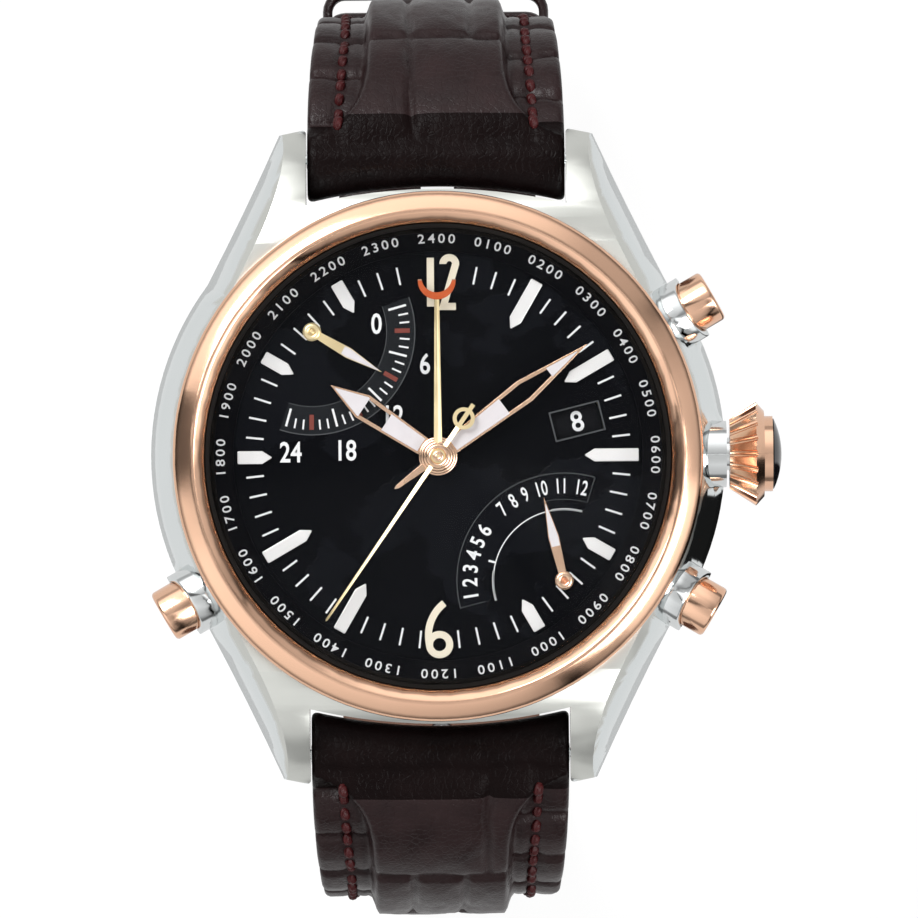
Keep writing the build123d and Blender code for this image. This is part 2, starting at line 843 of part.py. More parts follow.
def hour_marker(length):
    """Applied bar along +X with a pointed inner end"""
    half = marker_width / 2
    inner_radius = marker_outer_radius - length
    outline = Polygon(
        (inner_radius, 0),
        (inner_radius + marker_point_length, -half),
        (marker_outer_radius, -half),
        (marker_outer_radius, half),
        (inner_radius + marker_point_length, half),
        align=None,
    )
    return Pos(0, 0, dial_top_height) * extrude(outline, marker_height)


def digit_solid(lines, width):
    """Numeral drawn with strokes of one width, standing on the dial"""
    sketch = trace(lines, width)
    return Pos(0, 0, dial_top_height) * extrude(sketch, marker_height)


def build_numeral_twelve():
    stroke = numeral_stroke_width
    bottom = numeral_outer_radius - numeral_twelve_height + stroke / 2
    top = numeral_outer_radius - stroke / 2
    one_x = -(numeral_twelve_gap + stroke) / 2
    left = one_x + stroke + numeral_twelve_gap
    right = left + numeral_twelve_digit_width - stroke / 2
    middle_x = (left + right) / 2
    bend = middle_x - left
    one = digit_solid(Line((one_x, bottom), (one_x, top)), stroke)
    bow = ThreePointArc((left, top - bend), (middle_x, top), (right, top - bend))
    slope = Line((right, top - bend), (left, bottom))
    foot = Line((left, bottom), (right, bottom))
    two = digit_solid(Curve() + [bow, slope, foot], stroke)
    return one + two


def build_numeral_six():
    stroke = numeral_stroke_width
    bottom = -numeral_outer_radius
    top = bottom + numeral_six_height
    bowl_radius = numeral_six_width / 2
    centre_y = bottom + bowl_radius
    bowl = Circle(bowl_radius) - Circle(bowl_radius - stroke)
    line_radius = bowl_radius - stroke / 2
    stem_middle = (-line_radius * sin(radians(numeral_six_lean_angle)), (centre_y + top) / 2)
    stem_top = (line_radius * numeral_six_end_share, top - stroke / 2)
    stem = trace(ThreePointArc((-line_radius, centre_y), stem_middle, stem_top), stroke)
    sketch = Pos(0, centre_y) * bowl + stem
    return Pos(0, 0, dial_top_height) * extrude(sketch, marker_height)


def build_hour_markers():
    bars = [radial(angle, hour_marker(long_marker_length)) for angle in long_marker_angles]
    bars += [radial(angle, hour_marker(short_marker_length)) for angle in short_marker_angles]
    return group(bars)


def build_numerals():
    return group([build_numeral_twelve(), build_numeral_six()])


def group(shapes):
    """Separate solids kept together in one node"""
    solids = []
    for shape in shapes:
        solids += list(shape.solids())
    return Compound(children=solids)


def build_case_back():
    boss = back_boss_radius
    boss_top = back_thickness + back_boss_height
    body = disc(back_radius, 0, back_thickness)
    body = chamfer(body.edges().group_by(Axis.Z)[0], back_edge_depth)
    body += ring(boss, boss - back_gasket_width, back_thickness, boss_top)
    groove_inner = boss - back_gasket_depth
    body -= ring(boss + overrun, groove_inner, back_thickness + seat_gap, boss_top - seat_gap)
    for place in back_screw_places():
        body -= disc(back_screw_head_radius + back_screw_gap, -overrun, back_screw_head_depth, place)
        body -= disc(back_screw_radius + back_screw_gap, -overrun, back_thickness + overrun, place)
    return single(body)


def build_case_back_gasket():
    bottom = back_thickness + seat_gap
    top = back_thickness + back_boss_height - seat_gap
    return single(ring(case_bore_radius, back_boss_radius - back_gasket_depth, bottom, top))


def build_case_back_screws():
    screws = []
    for place in back_screw_places():
        screw = disc(back_screw_head_radius, 0, back_screw_head_depth, place)
        screw += disc(back_screw_radius, back_screw_head_depth, back_screw_tip_height, place)
        slot_length = 2 * back_screw_head_radius + overrun
        slot = slab(slot_length, back_screw_slot_width, -overrun, back_screw_slot_depth)
        screws.append(screw - Pos(*place) * slot)
    return group(screws)


def stem_slot():
    """Channel for the winding stem and its lever, cut into the movement from the side"""
    width = lever_length + 2 * lever_side_gap
    start = stem_inner_x - crown_pull_length
    depth = 2 * (stem_radius + stem_gap + lever_side_gap)
    body = Box(case_bore_radius, width, depth, align=(Align.MIN, Align.CENTER, Align.CENTER))
    return Pos(start, 0, crown_height) * body


def pusher_slots():
    """Channels for the inner ends of the pushers"""
    radius = pusher_foot_radius + lever_side_gap
    start = pusher_foot_inner_x - pusher_travel_length - pusher_gap
    return [radial(angle, rod_x(radius, start, case_radius, pusher_height)) for angle in pusher_angles]


def build_movement_holder():
    outer = case_bore_radius - holder_gap
    inner = movement_radius + holder_gap
    body = ring(outer, inner, holder_bottom_height, movement_seat_height)
    body -= stem_slot()
    for cutter in pusher_slots():
        body -= cutter
    return single(body)


def arbor_places():
    """Centres of the arbors that turn between the main plate and the bridge"""
    third = on_circle(third_distance, third_angle)
    intermediate = on_circle(intermediate_distance, intermediate_angle)
    rotor = on_circle(intermediate_distance + rotor_distance, intermediate_angle)
    world = on_circle(world_distance, world_angle)
    return {"third": third, "intermediate": intermediate, "rotor": rotor, "world": world}


def sub_rotor_place(place):
    """Centre of the rotor that drives a sub-dial hand"""
    side = 1 if place[0] < 0 else -1
    return (place[0] + side * sub_distance, place[1])


def build_main_plate():
    body = disc(movement_radius, plate_bottom_height, plate_top_height)
    seat_outer = date_ring_inner_radius + date_seat_width
    seat_inner = date_ring_inner_radius - arbor_gap
    seat_top = date_ring_height + date_ring_thickness / 2
    body += ring(seat_outer, hour_room_radius, plate_top_height, date_ring_height - arbor_gap)
    body += ring(seat_inner, hour_room_radius, plate_top_height, seat_top)
    rim_inner = movement_radius - plate_lip_width
    body += ring(movement_radius, rim_inner, plate_top_height, movement_seat_height)
    body -= disc(minute_tube_radius + arbor_gap, 0, case_top_height)
    for name in ("third", "intermediate", "rotor", "world"):
        top = plate_bottom_height + pivot_length + arbor_gap
        body -= disc(pivot_radius + arbor_gap, plate_bottom_height - overrun, top, arbor_places()[name])
    for place in sub_places:
        body -= disc(sub_arbor_radius + arbor_gap, 0, case_top_height, place)
        top = plate_bottom_height + pivot_length + arbor_gap
        body -= disc(pivot_radius + arbor_gap, 0, top, sub_rotor_place(place))
    body -= disc(battery_radius + arbor_gap, 0, battery_top_height + seat_gap, battery_place)
    body += motion_post()
    body -= stem_slot()
    for cutter in pusher_slots():
        body -= cutter
    for angle in pillar_angles:
        place = on_circle(pillar_circle_radius, angle)
        body += disc(pillar_radius, bridge_top_height, plate_bottom_height, place)
        body -= disc(plate_screw_radius, 0, bridge_top_height + plate_screw_depth, place)
    return single(body)


def motion_post():
    """Fixed post on which the motion wheel turns"""
    top = plate_top_height + motion_post_height
    return disc(pivot_radius, plate_top_height, top, motion_place())


def motion_place():
    """Centre of the motion wheel"""
    return on_circle(motion_distance, motion_angle)


def build_train_bridge():
    body = disc(bridge_radius, bridge_bottom_height, bridge_top_height)
    body -= disc(pivot_radius + arbor_gap, 0, plate_bottom_height)
    for place in arbor_places().values():
        body -= disc(pivot_radius + arbor_gap, 0, plate_bottom_height, place)
    for angle in pillar_angles:
        body -= disc(plate_screw_radius, 0, plate_bottom_height, on_circle(pillar_circle_radius, angle))
    return single(body)


def build_plate_screws():
    screws = []
    for angle in pillar_angles:
        place = on_circle(pillar_circle_radius, angle)
        head_bottom = bridge_bottom_height - plate_screw_head_height
        screw = disc(plate_screw_head_radius, head_bottom, bridge_bottom_height, place)
        tip = bridge_top_height + plate_screw_depth
        screws.append(screw + disc(plate_screw_radius, bridge_bottom_height, tip, place))
    return group(screws)


def arbor(place, start, end, radius=arbor_radius):
    """Arbor with a thin pivot at both ends"""
    body = disc(radius, start, end, place)
    lower = bridge_top_height - pivot_length
    upper = plate_bottom_height + pivot_length
    return body + disc(pivot_radius, lower, upper, place)


def build_rotor():
    place = arbor_places()["rotor"]
    pinion_top = intermediate_wheel_height + wheel_thickness + arbor_gap
    toward = intermediate_angle + half_turn
    pinion = gear(rotor_pinion_teeth, rotor_module, magnet_top_height, pinion_top, toward)
    body = disc(magnet_radius, magnet_bottom_height, magnet_top_height, place)
    body += Pos(*place) * pinion
    shaft = arbor(place, bridge_top_height + arbor_gap, magnet_bottom_height, thick_arbor_radius)
    return single(body + shaft)


def build_intermediate_wheel():
    place = arbor_places()["intermediate"]
    wheel_top = intermediate_wheel_height + wheel_thickness
    outward = facing_gap(intermediate_wheel_teeth, intermediate_angle)
    wheel = gear(intermediate_wheel_teeth, rotor_module, intermediate_wheel_height, wheel_top, outward)
    pinion_bottom = bridge_top_height + arbor_gap
    inward = intermediate_angle + half_turn
    pinion = gear(intermediate_pinion_teeth, train_module, pinion_bottom, intermediate_wheel_height, inward)
    body = Pos(*place) * (wheel + pinion)
    return single(body + arbor(place, wheel_top, plate_bottom_height - arbor_gap))


def build_second_wheel():
    wheel_top = second_wheel_height + wheel_thickness
    pinion_top = third_wheel_height + wheel_thickness + arbor_gap
    turn = facing_gap(second_wheel_teeth, intermediate_angle)
    body = gear(second_wheel_teeth, train_module, second_wheel_height, wheel_top, turn)
    body += gear(second_pinion_teeth, third_module, wheel_top, pinion_top, third_angle)
    body += disc(pivot_radius, bridge_top_height - pivot_length, second_wheel_height)
    body += disc(hub_radius, bridge_top_height + arbor_gap, second_wheel_height)
    return single(body + disc(second_arbor_radius, second_wheel_height, second_hand_height))


def build_third_wheel():
    place = arbor_places()["third"]
    wheel_top = third_wheel_height + wheel_thickness
    pinion_top = minute_wheel_height + wheel_thickness + arbor_gap
    toward = third_angle + half_turn
    turn = facing_gap(third_wheel_teeth, toward)
    wheel = gear(third_wheel_teeth, third_module, third_wheel_height, wheel_top, turn)
    pinion = gear(third_pinion_teeth, minute_module, wheel_top, pinion_top, toward)
    body = Pos(*place) * (wheel + pinion)
    return single(body + arbor(place, bridge_top_height + arbor_gap, third_wheel_height))


def build_minute_wheel():
    wheel_top = minute_wheel_height + wheel_thickness
    turn = facing_gap(minute_wheel_teeth, third_angle)
    body = gear(minute_wheel_teeth, minute_module, minute_wheel_height, wheel_top, turn)
    pinion_bottom = plate_top_height + arbor_gap
    pinion_top = hour_wheel_height - arbor_gap
    body += gear(cannon_pinion_teeth, motion_module, pinion_bottom, pinion_top, motion_angle)
    body += disc(minute_tube_radius, minute_wheel_height, minute_hand_height)
    return single(body - disc(world_tube_radius + arbor_gap, 0, case_top_height + overrun))


def build_world_time_wheel():
    wheel_top = world_wheel_height + wheel_thickness
    turn = facing_gap(world_wheel_teeth, world_angle)
    body = gear(world_wheel_teeth, train_module, world_wheel_height, wheel_top, turn)
    body += disc(world_tube_radius, world_wheel_height - world_hub_height, world_hand_height)
    return single(body - disc(second_arbor_radius + arbor_gap, 0, case_top_height + overrun))


def build_motion_wheel():
    wheel_top = motion_wheel_height + wheel_thickness
    toward = motion_angle + half_turn
    turn = facing_gap(motion_wheel_teeth, toward)
    wheel = gear(motion_wheel_teeth, motion_module, motion_wheel_height, wheel_top, turn)
    pinion = gear(motion_pinion_teeth, train_module, wheel_top, hour_wheel_height + wheel_thickness, toward)
    body = Pos(*motion_place()) * (wheel + pinion)
    return single(body - disc(pivot_radius + arbor_gap, 0, case_top_height, motion_place()))


def build_hour_wheel():
    wheel_top = hour_wheel_height + wheel_thickness
    turn = facing_gap(hour_wheel_teeth, motion_angle)
    body = gear(hour_wheel_teeth, train_module, hour_wheel_height, wheel_top, turn)
    body += disc(hour_tube_radius, hour_wheel_height, hour_hand_height)
    return single(body - disc(minute_tube_radius + arbor_gap, 0, case_top_height + overrun))


def build_world_time_rotor():
    place = arbor_places()["world"]
    pinion_top = world_wheel_height + wheel_thickness + arbor_gap
    toward = world_angle + half_turn
    pinion = gear(world_pinion_teeth, train_module, magnet_top_height, pinion_top, toward)
    body = disc(magnet_radius, magnet_bottom_height, magnet_top_height, place)
    body += Pos(*place) * pinion
    shaft = arbor(place, bridge_top_height + arbor_gap, magnet_bottom_height, thick_arbor_radius)
    return single(body + shaft)


def sub_rotor_angle(place):
    """Direction from a sub-dial arbor to its rotor"""
    return 0 if place[0] < 0 else half_turn


def build_sub_rotor(place):
    rotor_place = sub_rotor_place(place)
    pinion_top = sub_wheel_height + wheel_thickness + arbor_gap
    toward = sub_rotor_angle(place) + half_turn
    body = disc(magnet_radius, magnet_bottom_height, magnet_top_height, rotor_place)
    body += Pos(*rotor_place) * gear(sub_pinion_teeth, train_module, magnet_top_height, pinion_top, toward)
    upper = plate_bottom_height + pivot_length
    return single(body + disc(pivot_radius, stator_bottom_height - pivot_length, upper, rotor_place))


def build_sub_wheel(place):
    wheel_top = sub_wheel_height + wheel_thickness
    turn = facing_gap(sub_wheel_teeth, sub_rotor_angle(place))
    body = Pos(*place) * gear(sub_wheel_teeth, train_module, sub_wheel_height, wheel_top, turn)
    return single(body + disc(sub_arbor_radius, sub_wheel_height, sub_hand_height, place))


def motors():
    """Rotor centre and the direction towards the coil of each stepping motor"""
    places = arbor_places()
    return [
        (places["rotor"], intermediate_angle),
        (places["world"], world_angle),
        (sub_rotor_place(home_place), -quarter_turn),
        (sub_rotor_place(season_place), quarter_turn),
    ]


def motor_stator():
    """Two-armed soft iron plate round a rotor, with the coil side along +X"""
    top = stator_bottom_height + stator_thickness
    width = 2 * stator_half_width
    body = slab(width, 2 * stator_half_length, stator_bottom_height, top)
    arm_length = coil_offset + stator_arm_width / 2
    for side in (1, -1):
        arm_y = side * (stator_half_length - stator_arm_width / 2)
        arm = slab(arm_length, stator_arm_width, stator_bottom_height, top)
        body += Pos(arm_length / 2, arm_y, 0) * arm
    return body - disc(magnet_radius + magnet_gap, 0, case_top_height)


def motor_coil():
    """Wound coil between the arms of a stator"""
    length = 2 * (stator_half_length - stator_arm_width) - 2 * seat_gap
    centre_z = stator_bottom_height + stator_thickness / 2
    body = Cylinder(coil_radius, length) + Cylinder(coil_core_radius, length + 2 * seat_gap)
    return Pos(coil_offset, 0, centre_z) * Rot(quarter_turn, 0, 0) * body


def placed_motors(shape):
    """One copy of a motor piece at each motor"""
    return group([Pos(*place) * Rot(0, 0, angle) * shape for place, angle in motors()])


def build_battery():
    body = disc(battery_radius, battery_bottom_height, battery_rim_height, battery_place)
    pole_radius = battery_radius - battery_step_width
    return single(body + disc(pole_radius, battery_bottom_height, battery_top_height, battery_place))


def build_battery_clamp():
    """Spring strip across the battery with a foot on the main plate at each end"""
    reach = battery_radius + clamp_overhang_length
    body = slab(2 * reach, clamp_width, clamp_bottom_height, battery_bottom_height)
    for side in (1, -1):
        foot = slab(clamp_foot_length, clamp_width, clamp_bottom_height, plate_bottom_height)
        body += Pos(side * (reach - clamp_foot_length / 2), 0, 0) * foot
    return single(Pos(*battery_place) * Rot(0, 0, clamp_angle) * body)


def sector(outer, inner, start, end, bottom, top):
    """Part of a ring between two angles"""
    reach = outer * 2
    edge_points = [on_circle(reach, angle) for angle in (start, (start + end) / 2, end)]
    wedge = extrude(Polygon((0, 0), *edge_points, align=None), top - bottom + overrun)
    return ring(outer, inner, bottom, top) & (Pos(0, 0, bottom) * wedge)


def build_circuit_board():
    top = plate_bottom_height - seat_gap
    bottom = top - circuit_thickness
    ends = (circuit_start_angle, circuit_end_angle)
    body = sector(circuit_outer_radius, circuit_inner_radius, *ends, bottom, top)
    chip_place = (circuit_inner_radius + circuit_outer_radius) / 2
    chip_angle = circuit_start_angle + (circuit_end_angle - circuit_start_angle) * chip_place_share
    chip = Pos(chip_place, 0, 0) * slab(chip_width, chip_width, bottom - chip_height, bottom)
    return single(body + radial(chip_angle, chip))


def build_quartz():
    height = plate_bottom_height - circuit_thickness - 2 * seat_gap - quartz_radius
    start = quartz_place_radius - quartz_length / 2
    return single(radial(quartz_angle, rod_x(quartz_radius, start, start + quartz_length, height)))


def build_date_ring():
    top = date_ring_height + date_ring_thickness
    body = ring(date_ring_outer_radius, date_ring_inner_radius, date_ring_height, top)
    step = 2 * half_turn / date_tooth_count
    depth = date_tooth_depth
    notch = slab(2 * depth, 2 * depth, date_ring_height, dial_bottom_height)
    notch = Pos(date_ring_inner_radius, 0, 0) * notch
    for tooth in range(date_tooth_count):
        body -= radial(tooth * step, notch)
    return single(body)


def flat_hand(sketch, height, hub):
    """Hand along +X cut out of sheet, with a round hub"""
    body = Pos(0, 0, height) * extrude(sketch, hand_thickness)
    return body + disc(hub, height, height + hand_thickness)


def tapered_blade(start, end, root_width, tip_width):
    """Flat outline that narrows from one end to the other, ending in a point"""
    half_root = root_width / 2
    half_tip = tip_width / 2
    point = end - tip_width
    return Polygon(
        (start, -half_root), (point, -half_tip), (end, 0), (point, half_tip), (start, half_root), align=None
    )


def leaf_blade(length, width, split_share):
    """Arrow-like outline from its root to its tip, widest at a share of its length"""
    widest = length * split_share
    half = width / 2
    root_half = half * blade_root_share
    return Polygon((0, -root_half), (widest, -half), (length, 0), (widest, half), (0, root_half), align=None)


def window_frame(blade, length, window_start_share, window_end_share):
    """Blade with an open window that leaves a narrow frame at both sides"""
    window_start = length * window_start_share
    window_end = length * window_end_share
    window = Pos((window_start + window_end) / 2, 0) * Rectangle(window_end - window_start, length)
    return blade - (offset(blade, -hand_frame_width) & window)


def build_hour_hand():
    blade = leaf_blade(hour_hand_length, hour_hand_width, hour_blade_split_share)
    blade = window_frame(blade, hour_hand_length, hour_window_start_share, hour_window_end_share)
    body = flat_hand(blade, hour_hand_height, hour_hub_radius)
    bore = disc(minute_tube_radius + arbor_gap, 0, bezel_top_height)
    return single(radial(hour_hand_angle, body - bore))


def build_minute_hand():
    blade = leaf_blade(minute_hand_length, minute_hand_width, minute_blade_split_share)
    blade = window_frame(blade, minute_hand_length, minute_window_start_share, minute_window_end_share)
    tail = tapered_blade(0, minute_tail_length, minute_tail_width, world_hand_tip_width)
    tail = Rot(0, 0, half_turn) * tail
    body = flat_hand(blade + tail, minute_hand_height, minute_hub_radius)
    bore = disc(world_tube_radius + arbor_gap, 0, bezel_top_height)
    return single(radial(minute_hand_angle, body - bore))


def build_world_time_hand():
    blade = tapered_blade(0, world_hand_length, world_hand_root_width, world_hand_tip_width)
    hollow = Circle(crescent_radius - crescent_width / 2)
    horns = Circle(crescent_radius) - Pos(crescent_width * crescent_shift_share, 0) * hollow
    open_length = 2 * crescent_radius * crescent_open_share
    cut = Pos(crescent_radius, 0) * Rectangle(open_length, 2 * crescent_radius + overrun)
    blade += Pos(crescent_place_radius, 0) * (horns - cut)
    body = flat_hand(blade, world_hand_height, world_hub_radius)
    bore = disc(second_arbor_radius + arbor_gap, 0, bezel_top_height)
    return single(radial(world_hand_angle, body - bore))


def build_second_hand():
    blade = tapered_blade(0, second_hand_length, second_hand_width, second_hand_tip_width)
    tail = Pos(-second_tail_length / 2, 0) * Rectangle(second_tail_length, second_hand_width)
    weight = Circle(counterweight_radius) - Circle(counterweight_radius - hand_frame_width)
    blade = blade + tail + Pos(-counterweight_distance, 0) * weight
    body = flat_hand(blade, second_hand_height, second_hub_radius)
    cap_top = second_hand_height + hand_thickness + second_cap_height
    body += disc(second_cap_radius, second_hand_height, cap_top)
    return single(radial(second_hand_angle, body))


def build_sub_hand(length, angle, place):
    blade = leaf_blade(length, sub_hand_width, sub_blade_split_share)
    body = flat_hand(blade, sub_hand_height, sub_hub_radius)
    return single(Pos(*place) * radial(angle, body))


def turned_x(points, height):
    """Solid turned about a line along +X from an outline of place and radius"""
    return Pos(0, 0, height) * revolve(Plane.XZ * Polygon(*points, align=None), Axis.X)


def build_crown():
    body = turned_x([
        (crown_start_x, 0),
        (crown_start_x, crown_foot_radius),
        (crown_widest_x, crown_widest_radius),
        (crown_end_x, crown_shoulder_radius),
        (crown_end_x, crown_neck_radius),
        (crown_neck_end_x, crown_neck_radius),
        (crown_neck_end_x, 0),
    ], crown_height)
    slope = atan2(crown_widest_radius - crown_foot_radius, crown_widest_length)
    flute_length = crown_length + 2 * overrun
    for index in range(crown_flute_count):
        flute = Cylinder(crown_flute_radius, flute_length)
        flute = Rot(0, quarter_turn - degrees(slope), 0) * flute
        middle_radius = (crown_foot_radius + crown_widest_radius) / 2
        lift = middle_radius + (crown_flute_radius - crown_flute_depth) / cos(slope)
        middle_x = (crown_start_x + crown_widest_x) / 2
        turned_flute = Rot(2 * half_turn * index / crown_flute_count, 0, 0) * Pos(middle_x, 0, lift) * flute
        keep_out = rod_x(2 * crown_widest_radius, crown_end_x, crown_end_x + 2 * overrun, 0)
        body -= Pos(0, 0, crown_height) * (turned_flute - keep_out)
    body -= rod_x(crown_bore_radius, 0, crown_roof_x, crown_height)
    seat_x = crown_neck_end_x - cabochon_seat_depth
    body -= rod_x(cabochon_radius, seat_x, crown_neck_end_x + overrun, crown_height)
    return single(body)


def build_crown_cabochon():
    """Polished dome set in the end of the crown"""
    seat_x = crown_neck_end_x - cabochon_seat_depth
    rim_x = crown_neck_end_x + cabochon_edge_height
    dome_x = crown_neck_end_x + cabochon_height
    rise = dome_x - rim_x
    ball_radius = (cabochon_radius ** 2 + rise ** 2) / (2 * rise)
    half_angle = degrees(atan2(cabochon_radius, ball_radius - rise)) / 2
    middle = on_circle(ball_radius, half_angle)
    bulge = (dome_x - ball_radius + middle[0], middle[1])
    edges = [
        Line((seat_x, 0), (seat_x, cabochon_radius)),
        Line((seat_x, cabochon_radius), (rim_x, cabochon_radius)),
        ThreePointArc((rim_x, cabochon_radius), bulge, (dome_x, 0)),
        Line((dome_x, 0), (seat_x, 0)),
    ]
    return single(Pos(0, 0, crown_height) * revolve(Plane.XZ * make_face(edges), Axis.X))


def build_crown_stem():
    groove_end = stem_groove_x + stem_groove_length
    body = rod_x(stem_radius, stem_inner_x, crown_roof_x, crown_height)
    groove = tube_x(stem_radius + overrun, stem_groove_radius, stem_groove_x, groove_end, crown_height)
    return single(body - groove)


def build_crown_tube():
    body = rod_x(crown_boss_radius, crown_boss_inner_x, crown_boss_outer_x, crown_height)
    body += rod_x(crown_tube_radius, crown_tube_inner_x, crown_tube_outer_x, crown_height)
    ring_end = crown_ring_x + crown_ring_length
    body -= tube_x(crown_bore_radius, crown_groove_radius, crown_ring_x, ring_end, crown_height)
    return single(body - rod_x(stem_radius + stem_gap, 0, crown_end_x, crown_height))


def build_crown_gasket():
    outer = crown_bore_radius - stem_gap
    end_x = crown_ring_x + crown_ring_length
    return single(tube_x(outer, crown_groove_radius, crown_ring_x, end_x, crown_height))


def build_setting_lever():
    """Sliding fork that holds the stem by its groove and moves with it"""
    length = stem_groove_length - 2 * stem_gap
    body = Box(length, lever_length, lever_thickness, align=(Align.MIN, Align.CENTER, Align.CENTER))
    body = Pos(stem_groove_x + stem_gap, 0, crown_height) * body
    return single(body - rod_x(stem_groove_radius + stem_gap, 0, crown_end_x, crown_height))


def build_pusher(angle):
    """Cap, stem and retaining foot of one pusher"""
    cap = rod_x(pusher_cap_radius, pusher_cap_bottom_x, pusher_cap_top_x, pusher_height)
    cap = fillet(cap.edges().group_by(Axis.X)[-1], pusher_edge_radius)
    body = cap + rod_x(pusher_stem_radius, pusher_stem_inner_x, pusher_cap_bottom_x, pusher_height)
    body += rod_x(pusher_foot_radius, pusher_foot_inner_x, pusher_stem_inner_x, pusher_height)
    return single(radial(angle, body))


def build_pusher_collars():
    """Collars pressed into the case, in which the pusher caps slide, with ends that slant like the flank"""
    reach = collar_radius + overrun
    above = extrude(Circle(collar_outer_x), reach, taper=flank_angle)
    within = Pos(0, 0, pusher_height) * (above + extrude(Circle(collar_outer_x), -reach))
    cup = rod_x(collar_radius, collar_seat_x, collar_outer_x + overrun, pusher_height) & within
    cup -= rod_x(pusher_cap_radius + pusher_gap, collar_floor_x, collar_outer_x + overrun, pusher_height)
    tube = rod_x(collar_tube_radius, crown_tube_inner_x, collar_seat_x, pusher_height)
    body = cup + tube - rod_x(pusher_stem_radius + pusher_gap, 0, case_radius, pusher_height)
    return group([radial(angle, body) for angle in pusher_angles])


def build_pusher_springs():
    """Return springs between the collar floors and the caps"""
    wire = return_spring_wire_radius
    length = pusher_cap_bottom_x - collar_floor_x - 2 * wire - seat_gap
    path = Helix(length / return_spring_turns, length, return_spring_radius)
    section = Plane(path @ 0, z_dir=path % 0) * Circle(wire)
    coil = sweep(section, path=path)
    start = collar_floor_x + wire + seat_gap / 2
    placed = Pos(start, 0, pusher_height) * Rot(0, quarter_turn, 0) * coil
    return group([radial(angle, placed) for angle in pusher_angles])


def build_spring_bars():
    body_reach = lug_half_gap - bar_end_gap
    tip_reach = lug_half_gap + bar_tip_length
    bar = rod_x(bar_radius, -body_reach, body_reach, bar_height)
    bar += rod_x(bar_tip_radius, -tip_reach, tip_reach, bar_height)
    neck_length = bar_collar_length / 2
    for start in (body_reach - bar_collar_length, neck_length - body_reach):
        neck_radius = bar_radius - bar_collar_depth
        bar -= tube_x(bar_radius + seat_gap, neck_radius, start, start + neck_length, bar_height)
    return group([Pos(0, side * bar_y, 0) * bar for side in (1, -1)])


def strap_front_outline():
    """Front view of the strap, tapering from the lugs and again down the side, and then even"""
    wide = strap_width_at_lugs / 2
    narrow = strap_width / 2
    slim = strap_end_width / 2
    slim_top = shoulder_centre_z - strap_taper_length
    top = bar_height + strap_end_radius + overrun
    bottom = sole_height - overrun
    taper_top = bar_height - strap_taper_depth
    points = [
        (-wide, top), (-wide, taper_top), (-narrow, shoulder_centre_z), (-slim, slim_top), (-slim, bottom),
        (slim, bottom), (slim, slim_top), (narrow, shoulder_centre_z), (wide, taper_top), (wide, top),
    ]
    return Plane.XZ * Polygon(*points, align=None)


def strap_nose(half):
    """End of the strap beyond the spring bar, which follows the hollow wall of the case"""
    side_y = lug_end_wall_y - lug_end_wall_depth + strap_nose_gap
    middle_y = lug_end_wall_y + strap_nose_gap
    plan = make_face([
        ThreePointArc((lug_half_gap, side_y), (0, middle_y), (-lug_half_gap, side_y)),
        Polyline(
            (-lug_half_gap, side_y), (-lug_half_gap, bar_y), (lug_half_gap, bar_y), (lug_half_gap, side_y)
        ),
    ])
    thin = strap_nose_thickness / 2
    profile = Plane.YZ * Polygon(
        (bar_y, bar_height + strap_end_radius), (side_y, bar_height + thin),
        (side_y, bar_height - thin), (bar_y, bar_height - strap_end_radius), align=None
    )
    return extrude(plan, bar_height + strap_end_radius) & extrude(profile, half, both=True)


def strap_band(flat_length):
    """Half of the strap on the +Y side: a roll on the spring bar, the band and its raised pad"""
    half = strap_width_at_lugs / 2
    band = band_face(strap_inside_thickness, strap_outside_thickness, flat_length)
    body = extrude(band, half, both=True)
    pad = band_face(0, pad_outside_height, 0, with_corner=False)
    body += extrude(pad, strap_pad_width / 2, both=True)
    body += Pos(0, bar_y, 0) * rod_x(strap_end_radius, -half, half, bar_height)
    body += strap_nose(half)
    reach = corner_centre_y + corner_radius + overrun
    front = extrude(strap_front_outline(), 2 * reach, both=True)
    body = body & front
    bore = rod_x(bar_radius + strap_bore_gap, -half - overrun, half + overrun, bar_height)
    return body - Pos(0, bar_y, 0) * bore


def build_strap_12():
    body = strap_band(0)
    half = strap_end_width / 2
    roll = rod_x(strap_inside_thickness, -half, half, sole_middle_height)
    body += Pos(0, corner_centre_y, 0) * roll
    bore = rod_x(buckle_bar_radius + buckle_bar_gap, -half - overrun, half + overrun, sole_middle_height)
    body -= Pos(0, corner_centre_y, 0) * bore
    slot_width = tongue_width + 2 * tongue_slot_gap
    slot_bottom = sole_height - overrun
    slot = slab(slot_width, 2 * tongue_slot_depth, slot_bottom, sole_middle_height + tongue_slot_height)
    return single(body - Pos(0, corner_centre_y, 0) * slot)


def strap_hole_place(index):
    """Place and direction of an adjustment hole, counted from the strap's tip"""
    distance = strap_first_hole_length + index * strap_hole_pitch_length
    if distance < long_flat_length:
        return (distance - strap_tip_y, sole_middle_height, 0)
    angle = quarter_turn * (1 - (distance - long_flat_length) / corner_length)
    point = corner_point(angle, 0)
    return (point[0], point[1], quarter_turn - angle)


def build_strap_6():
    body = strap_band(long_flat_length)
    half = strap_width_at_lugs / 2
    tip_start = strap_tip_length - strap_tip_y
    far = corner_centre_y + corner_radius + overrun
    plan = Pos(0, (tip_start + far) / 2) * Rectangle(2 * half, far - tip_start)
    plan += Pos(0, tip_start) * Ellipse(strap_end_width / 2, strap_tip_length)
    height = case_top_height - sole_height
    body = body & (Pos(0, 0, sole_height) * extrude(plan, height))
    for index in range(strap_hole_count):
        place_y, place_z, lean = strap_hole_place(index)
        hole = Cylinder(strap_hole_radius, 2 * (strap_inside_thickness + strap_outside_thickness))
        body -= Pos(0, place_y, place_z) * Rot(lean, 0, 0) * hole
    return single(mirror(body, about=Plane.XZ))


